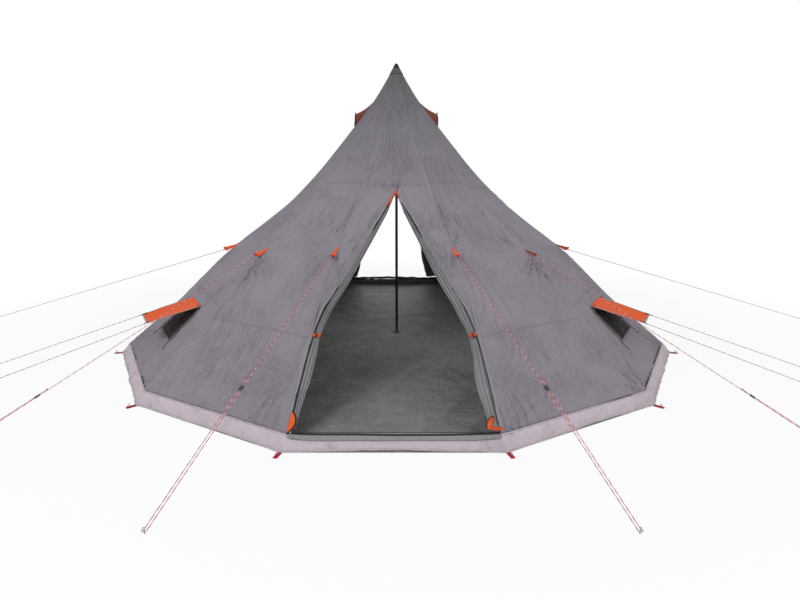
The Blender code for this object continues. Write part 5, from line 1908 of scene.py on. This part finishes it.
# Two plates and two webs: place, half sizes and bevel
SLIDER_BLOCKS = (
    ((0.0, -0.0036, 0.0), (0.0068, 0.0010, 0.0040), 0.0006),
    ((0.0, 0.0036, 0.0010), (0.0068, 0.0009, 0.0030), 0.0006),
    ((-0.0030, 0.0, 0.0034), (0.0026, 0.0042, 0.0009), 0.0004),
    ((0.0030, 0.0, 0.0034), (0.0026, 0.0042, 0.0009), 0.0004),
)


def add_slider():
    low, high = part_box("zip_slider")
    centre = ZIP_LINE + ((low.x + high.x) / 2.0, 0.0, 0.0)
    body = [box_mesh(centre + place, halves, bevel) for place, halves, bevel in SLIDER_BLOCKS]
    t = np.linspace(0.0, math.pi, 14)
    bridge = centre + np.stack([-0.0045 * np.cos(t), -0.0044 - 0.0026 * np.sin(t), 0.0 * t], 1)
    body.append(tube_mesh(bridge, 0.0009, 8))
    dress(joined("zip_slider", body), "zip", "zip", "zip_slider", "zip_slider")
    s = np.linspace(0.0, 1.0, 18)
    path = np.stack([0.002 * np.sin(3.0 * s), -0.62 * 0.031 * s, -0.78 * 0.031 * s], 1)
    path = path + centre + (0.0, -0.0066, -0.0010)
    pull = joined("zip_pull", [ribbon(path, 0.0030 + 0.0010 * s, (1.0, 0.0, 0.0), 0.0014)])
    dress(pull, "pull", "zip", "zip_slider")


add_slider()

# Windows


def window_place(side, across, height, lift=0.0):
    middle = WINDOW_GORE * side
    return skin(middle, share_at(middle, across, height), height, lift)[0]


WINDOW_TAPE_HALF = 0.010
PIPING_ASIDE = 0.024


def add_window(side, name):
    """The mesh, its binding and the piping on both sides of it."""
    shift = WINDOW_SHIFT * side
    heights = np.linspace(WINDOW_BOTTOM, WINDOW_TOP, 22)
    drop = (WINDOW_TOP - heights) / (WINDOW_TOP - WINDOW_BOTTOM)
    s = np.linspace(-1.0, 1.0, 34)
    across = shift + window_half(drop)[:, None] * s[None, :]
    tall = np.broadcast_to(heights[:, None], across.shape)
    sway = 0.004 * (1.0 - s[None, :] ** 2) * np.sin(math.pi * drop)[:, None]
    uvs = np.stack([across, slope_length(tall)], -1)
    made = add_grid("window_mesh_" + name, window_place(side, across, tall, -0.0022 - sway), uvs)
    thicken(made, 0.0006)
    dress(made, "net", "mesh", "tent", "window_mesh_" + name)
    top = WINDOW_TOP - 0.006
    corners = np.array([
        (-WINDOW_TOP_HALF, top), (WINDOW_TOP_HALF, top),
        (WINDOW_BOTTOM_HALF, WINDOW_BOTTOM), (-WINDOW_BOTTOM_HALF, WINDOW_BOTTOM),
    ])
    t = np.linspace(0.0, 1.0, 30, endpoint=False)[:, None]
    loop = [here + (there - here) * t for here, there in zip(corners, np.roll(corners, -1, axis=0))]
    loop = np.concatenate([*loop, corners[:1]])
    path = window_place(side, shift + loop[:, 0], loop[:, 1], 0.0012)
    outward = unit(direction(WINDOW_GORE * side) + UP * TAPE_LEAN)
    crown = (0.0, 0.0008, 0.0010, 0.0008, 0.0)
    tape = tape_mesh(path, outward, FLAT_OFFSETS, WINDOW_TAPE_HALF, crown, flip=False)
    made = joined("window_binding_" + name, [tape])
    thicken(made, 0.0009)
    dress(made, "window_tape", "canopy")
    t = np.linspace(-0.02, 1.22, 60)
    level = WINDOW_TOP + (WINDOW_BOTTOM - WINDOW_TOP) * t
    lines = []
    for end in (-1.0, 1.0):
        beside = shift + end * (window_half(t) + PIPING_ASIDE)
        lines.append(tube_mesh(window_place(side, beside, level, 0.0018), 0.0026, 8))
    dress(joined("window_piping_" + name, lines), "black_tape", "black")


for side_name, side_sign in SIDES:
    add_window(side_sign, side_name)

# Awnings

AWNING_NOISE = noise(71)


def awning_point(side, share, portion, lift=0.0):
    """Share runs out from the hinge, portion across from -1 to 1."""
    across, along, normal = awning_axes(side)
    half = AWNING_WALL_HALF + (AWNING_OUTER_HALF - AWNING_WALL_HALF) * share
    dip = AWNING_SAG * (1.0 - portion**2) * np.sin(math.pi * share / 2.0) ** 2
    folds = 0.0030 * share * fold(AWNING_NOISE(portion * 6.0 + 3.0, share * 1.2))
    folds = folds * (1.0 - portion**4)
    ripple = 0.0016 * np.sin(math.pi * share) * AWNING_NOISE(portion * 4.0, share * 5.0)
    slack = 1.0 - np.abs(portion)
    tension = 0.0022 * share**2 * np.sin(27.0 * slack * (1.3 - share)) * slack
    out = AWNING_SAG * share - dip * share + folds * 0.6 + ripple + tension + lift + CLOTH / 2.0
    place = awning_hinge(side) + across * (half * portion)[..., None]
    return place + along * (AWNING_LENGTH * share)[..., None] + normal * out[..., None]


def add_awning(side, name):
    share, portion = np.meshgrid(
        np.linspace(0.0, 1.0, 46), np.linspace(-1.0, 1.0, 44), indexing="ij")
    uvs = np.stack([portion * 0.175, share * AWNING_LENGTH], -1)
    made = add_grid("awning_" + name, awning_point(side, share, portion), uvs, flip=True)
    thicken(made, 0.0012, 1)
    dress(made, "orange orange_back", "orange", "awning_" + name, "awning_" + name)
    add_awning_hem(side, name)
    add_awning_trim(side, name)


def add_awning_hem(side, name):
    """A folded tape round the three free sides."""
    t = np.linspace(0.0, 1.0, 40)
    uvs = paired(np.array([-0.005, 0.0, 0.005])[None, :], t[:, None] * 0.38).reshape(-1, 2)
    hems = []
    for end in (-1.0, 1.0, 0.0):
        rows = []
        for offset, lift in ((0.0, 0.0012), (0.45, 0.0018), (1.0, 0.0012)):
            if end:
                a, b = t, np.full_like(t, end * (1.0 - 0.055 * offset))
            else:
                a, b = np.full_like(t, 1.0 - 0.030 * offset), t * 2.0 - 1.0
            rows.append(awning_point(side, a, b, lift))
        hems.append((np.stack(rows, 1).reshape(-1, 3), grid_faces(40, 3), uvs))
    hem = joined("awning_hem_" + name, hems)
    thicken(hem, 0.0026, 0, 0.0)
    dress(hem, "awning_hem", "orange", "awning_" + name)


def add_awning_trim(side, name):
    """A tab at each outer corner, and the toggles and their loops beside the hinge."""
    across, along, normal = awning_axes(side)
    s = np.linspace(0.90, 1.0, 12)
    tabs = []
    for end in (-1.0, 1.0):
        b = np.full_like(s, end * (1.0 - 0.008 / AWNING_OUTER_HALF))
        tabs.append(ribbon(awning_point(side, s, b, 0.0034), 0.0085, across, 0.0016))
    dress(joined("awning_corner_tabs_" + name, tabs), "black_tape", "black", "awning_" + name)
    t = np.linspace(-1.0, 1.0, 13)
    turn = np.linspace(0.0, math.pi, 16)[:, None]
    toggles = []
    for end in (-0.93, 0.93):
        centre = awning_point(side, np.array(0.050), np.array(end), 0.012)
        radius = 0.0040 * np.sqrt(np.clip(1.05 - t**4, 0.05, 1.0))
        toggles.append(tube_mesh(centre + across * (0.013 * t)[:, None], radius, 12))
        loop = centre + along * (0.00765 * np.cos(turn)) + normal * (0.006 * np.sin(turn) - 0.0085)
        toggles.append(tube_mesh(loop, 0.0011, 8, up=across))
    dress(joined("awning_toggles_" + name, toggles), "black", "black", "awning_" + name)


for side_name, side_sign in SIDES:
    add_awning(side_sign, side_name)

# Vent hoods


def hood_point(side, share, turn, inset=0.0):
    middle = side * VENT_GORE
    across, outward = lateral(middle), direction(middle)
    grown = HOOD_START + (1.0 - HOOD_START) * share
    base = HOOD_TOP + (HOOD_MOUTH - HOOD_TOP) * grown
    half = HOOD_HALF * grown - inset
    rise = HOOD_RISE * grown**HOOD_CURVE - inset
    aside = half * np.cos(turn)
    distance = wall_distance(middle, aside, base) + 0.0020
    wave = 0.0016 * np.sin(5.0 * turn + 2.0 * share) * share
    place = across * aside[..., None] + outward * (distance + wave)[..., None]
    return place + UP * (base + rise * np.sin(turn) + 0.5 * wave)[..., None]


def add_hood(side, name):
    """Half a cone of cloth, with piping round its mouth and along its crest."""
    outward = direction(VENT_GORE * side)
    share, turn = np.meshgrid(
        np.linspace(0.0, 1.0, 34), np.linspace(0.0, math.pi, 44), indexing="ij")
    uvs = np.stack([turn * 0.06, share * 0.30], -1)
    made = add_grid("vent_hood_" + name, hood_point(side, share, turn), uvs)
    thicken(made, 0.0014, 1)
    dress(made, "hood orange_back", "orange", "tent", "vent_hood_" + name)
    rim = hood_point(side, np.ones(60), np.linspace(0.0, math.pi, 60), 0.0006)
    crest = hood_point(side, np.linspace(0.15, 1.0, 50), np.full(50, math.pi / 2.0), -0.0008)
    ear = crest[-1] + (UP * 0.9 + outward * 0.45) * np.linspace(0.0, 0.016, 8)[:, None]
    pieces = [tube_mesh(rim, 0.0052, 10, up=outward), tube_mesh(crest, 0.0034, 10),
              tube_mesh(ear, 0.0046, 10)]
    dress(joined("vent_hood_rim_" + name, pieces), "black_tape", "black")


def add_vent_mesh(side, name):
    middle = VENT_GORE * side
    heights = np.linspace(VENT_BOTTOM - 0.004, VENT_TOP, 16)
    half = VENT_HALF * (VENT_TOP - heights) / (VENT_TOP - VENT_BOTTOM)
    across = (np.maximum(half, 0.0) + 0.004)[:, None] * np.linspace(-1.0, 1.0, 12)[None, :]
    tall = np.broadcast_to(heights[:, None], across.shape)
    points, _ = skin(middle, share_at(middle, across, tall), tall, -0.0030)
    net = add_grid("vent_mesh_" + name, points, np.stack([across, tall], -1))
    thicken(net, 0.0005)
    dress(net, "net", "mesh")


for side_name, side_sign in SIDES:
    add_hood(side_sign, side_name)
    add_vent_mesh(side_sign, side_name)

# Guy tabs


def tab_frame(side, key):
    """The tab's upper end on its seam, and its directions along, sideways and outward."""
    seam = side * TAB_SEAMS[key]

    def on_seam(level):
        azimuth = float(seam_azimuth(seam, level))
        return direction(azimuth) * float(seam_radius(level)) + UP * level, azimuth

    upper, azimuth = on_seam(TAB_HEIGHTS[key])
    lower, _ = on_seam(TAB_HEIGHTS[key] - TAB_LENGTH * 0.6)
    along = unit(lower - upper)
    sideways = np.cross(direction(azimuth), UP)
    lift = np.cross(sideways, along)
    return upper, along, sideways, lift if lift[2] > 0.0 else -lift


def tab_point(side, key, share, across, offset):
    upper, along, sideways, lift = tab_frame(side, key)
    half = TAB_HALF * (TAB_TIP + (1.0 - TAB_TIP) * share)
    twist = np.radians(TAB_TWIST[key]) * np.minimum(share / 0.6, 1.0)
    fall = np.abs(across) * half * math.tan(HALF_GORE) * np.cos(twist)
    rise = 0.0012 + TAB_LIFT * share * share + offset - fall
    rise = rise + 0.0010 * np.sin(9.0 * share + 4.0 * across) * share
    rise = rise + (across + 0.35) * half * np.sin(twist)
    place = upper + along * (TAB_LENGTH * share)[..., None]
    return place + sideways * (across * half * np.cos(twist))[..., None] + lift * rise[..., None]


def add_tab(side, key, name):
    """An orange triangle on a seam, with a webbing lip and a ring at its end."""
    label = "guy_tab_%s_%s" % (key, name)
    share, across = np.meshgrid(
        np.linspace(0.0, 1.0, 26), np.linspace(-1.0, 1.0, 15), indexing="ij")
    uvs = np.stack([across * 0.018 * share, share * TAB_LENGTH], -1)
    made = add_grid(label, tab_point(side, key, share, across, 0.0), uvs)
    face_up(made)
    thicken(made, 0.0016, 1, 1.0)
    dress(made, "orange orange_back", "orange", "tent", label)
    _, along, sideways, lift = tab_frame(side, key)
    lip = tab_point(side, key, np.full(13, 0.965), np.linspace(-1.0, 1.0, 13), 0.0022)
    piece = joined("tab_end_%s_%s" % (key, name), [ribbon(lip, 0.0052, along, 0.0024)])
    dress(piece, "red_tape", "cord")
    end = tab_point(side, key, np.array(1.0), np.array(0.0), 0.0010)
    turn = np.linspace(0.0, 2.0 * math.pi, 33)[:, None]
    out = unit(along + lift * 0.45)
    ring = end + out * (0.0018 + 0.0065 * np.cos(turn)) + sideways * (0.0075 * np.sin(turn))
    piece = joined("tab_ring_%s_%s" % (key, name),
                   [tube_mesh(ring, 0.0012, 8, capped=False, up=lift)])
    dress(piece, "black", "black")


for side_name, side_sign in SIDES:
    for tab_key in TAB_SEAMS:
        add_tab(side_sign, tab_key, side_name)

# Runners and pegs


RUNNER_ROWS, RUNNER_COLUMNS = 33, 40
BORE_RIM = 0.0030


def add_runner(side, key, name):
    """A flat plastic runner with ribs, and a bore for each strand."""
    label = "runner_%s_%s" % (key, name)
    start, peg, _, sideways = line_axes(side, key)
    strand = unit(peg + sideways * (CORD_PITCH / 2.0) - start)
    across = unit(sideways - strand * sideways.dot(strand))
    normal = np.cross(strand, across)
    centre = peg - strand * (RUNNERS[key] * RADIUS + RUNNER_LENGTH / 2.0)
    turn = np.linspace(0.0, 2.0 * math.pi, RUNNER_COLUMNS, endpoint=False)[:, None]
    wide, deep = across * squared(np.cos(turn), 0.6), normal * squared(np.sin(turn), 0.8)
    points = []
    for t in np.linspace(-1.0, 1.0, RUNNER_ROWS):
        waist = 1.0 - 0.12 * math.cos(math.pi * t) + 0.05 * math.cos(8.0 * math.pi * t)
        end = math.sqrt(max(1.0 - abs(t) ** 8, 0.0)) * 0.35 + 0.65
        half = 0.0132 * end * (0.94 + 0.06 * abs(t))
        points.append(centre + strand * (t * RUNNER_LENGTH / 2.0) + wide * half
                      + deep * (0.0043 * waist * end))
    points = np.concatenate(points)
    faces = grid_faces(RUNNER_ROWS, RUNNER_COLUMNS, around=True)
    faces.append(list(range(RUNNER_COLUMNS))[::-1])
    faces.append(list(range(len(points) - RUNNER_COLUMNS, len(points))))
    pieces = [(points, faces, points[:, :2])]
    turn = np.linspace(0.0, 2.0 * math.pi, 25)[:, None]
    for place in (-1.0, 1.0):
        ring = across * (place * CORD_PITCH / 2.0 + BORE_RIM * np.cos(turn))
        ring = ring + normal * (BORE_RIM * np.sin(turn))
        for end in (-1.0, 1.0):
            rim = centre + strand * (end * RUNNER_LENGTH / 2.0) + ring
            pieces.append(tube_mesh(rim, 0.0007, 8, capped=False, up=strand))
    dress(joined(label, pieces), "black", "black", label, label)


PEG_WIRE = 0.005
GUY_PEG = hook_profile(0.0010, 0.012, 0.034, 0.007, 11, 0.021)


def add_guy_peg(side, key, name):
    """A wire peg whose hook stands over the cord's turn."""
    label = "peg_%s_%s" % (key, name)
    _, turning, down, sideways = line_axes(side, key)
    away = unit(down - UP * down[2])
    reach = CORD_PITCH / 2.0 * down.dot(away) - (CORD + PEG_WIRE) / 2.0 - SEAT
    place = turning - UP * CORD_HEIGHT + away * reach
    path = np.array([place + away * r + UP * z for r, z in GUY_PEG])
    wire = add_tube(label, path, PEG_WIRE / 2.0, 12, up=sideways)
    dress(wire, "peg", "peg", "tent", label)


for side_name, side_sign in SIDES:
    for runner_key in RUNNERS:
        add_runner(side_sign, runner_key, side_name)
    for line_key in PEGS:
        add_guy_peg(side_sign, line_key, side_name)

# Studio


FLOOR_HALF = 60.0
FLOOR_DROP = 0.0005
FLOOR_WHITE = (2.6, 5.2, 0.87, 1.0)


def whitened(tree, shader, background, share):
    """Mixes two surfaces by a share of how directly they are seen."""
    mix = tree.nodes.new("ShaderNodeMixShader")
    for socket, source in zip(mix.inputs, (share, shader, background)):
        tree.links.new(source, socket)
    return mix.outputs[0]


def add_floor():
    """A pale ground that turns into the white of the picture away from the tent."""
    x, z = FLOOR_HALF, -FLOOR_DROP
    points = [(-x, -x, z), (x, -x, z), (x, x, z), (-x, x, z)]
    corners = [(0, 0), (1, 0), (1, 1), (0, 1)]
    ground = add_mesh("floor", points, [(0, 1, 2, 3)], corners, smooth=False)
    t = Tree("studio_floor")
    made = t.finish((0.80, 0.80, 0.80), 0.9, Specular_IOR_Level=0.1)
    glow = t.add("ShaderNodeEmission")
    glow.inputs["Color"].default_value = WHITE
    away = t.add("ShaderNodeVectorMath", operation="LENGTH")
    t.link(t.object, away.inputs[0])
    fade = t.between(away.outputs["Value"], *FLOOR_WHITE[:2])
    fade.interpolation_type = "SMOOTHSTEP"
    fade.inputs[3].default_value, fade.inputs[4].default_value = FLOOR_WHITE[2:]
    share = t.math("MULTIPLY", seen_directly(t.tree), fade.outputs[0])
    surface = whitened(t.tree, t.shader.outputs[0], glow.outputs[0], share)
    t.link(surface, t.tree.nodes["Material Output"].inputs["Surface"])
    paint(ground, made)


def add_world():
    world = bpy.data.worlds.new("studio")
    bpy.context.scene.world = world
    world.use_nodes = True
    tree = world.node_tree
    tree.nodes.clear()
    shades = []
    for strength in (WORLD_LIGHT, 1.0):
        shade = tree.nodes.new("ShaderNodeBackground")
        shade.inputs["Color"].default_value = WHITE
        shade.inputs["Strength"].default_value = strength
        shades.append(shade.outputs[0])
    output = tree.nodes.new("ShaderNodeOutputWorld")
    tree.links.new(whitened(tree, *shades, seen_directly(tree)), output.inputs["Surface"])


def add_lamps():
    for label, place, aim, side, power in LAMPS:
        data = bpy.data.lights.new(label, "AREA")
        data.shape = "DISK"
        data.size = side
        data.energy = power
        lamp = bpy.data.objects.new(label, data)
        lamp.location = place
        lamp.rotation_euler = (Vector(aim) - Vector(place)).to_track_quat("-Z", "Y").to_euler()
        bpy.context.scene.collection.objects.link(lamp)


def seen_directly(tree):
    """1 for camera, glossy and transmission rays."""
    path = tree.nodes.new("ShaderNodeLightPath")
    total = path.outputs["Is Camera Ray"]
    for name in ("Is Glossy Ray", "Is Transmission Ray"):
        larger = tree.nodes.new("ShaderNodeMath")
        larger.operation = "MAXIMUM"
        tree.links.new(total, larger.inputs[0])
        tree.links.new(path.outputs[name], larger.inputs[1])
        total = larger.outputs[0]
    return total


WHITE = (1.0, 1.0, 1.0, 1.0)
WORLD_LIGHT = 0.40
# Name, place, aim, diameter and watts
LAMPS = (
    ("key", (-4.2, -6.4, 6.2), (0.0, 0.0, 0.7), 3.4, 370.0),
    ("fill", (5.8, -5.6, 3.8), (0.0, 0.0, 0.7), 4.0, 180.0),
    ("top", (0.0, 1.5, 9.0), (0.0, 0.0, 0.5), 6.0, 80.0),
    ("inside", (0.0, -0.30, 1.62), (0.0, 0.45, 0.0), 0.6, 9.0),
)
add_floor()
add_world()
add_lamps()
bpy.context.scene.view_settings.view_transform = "Standard"
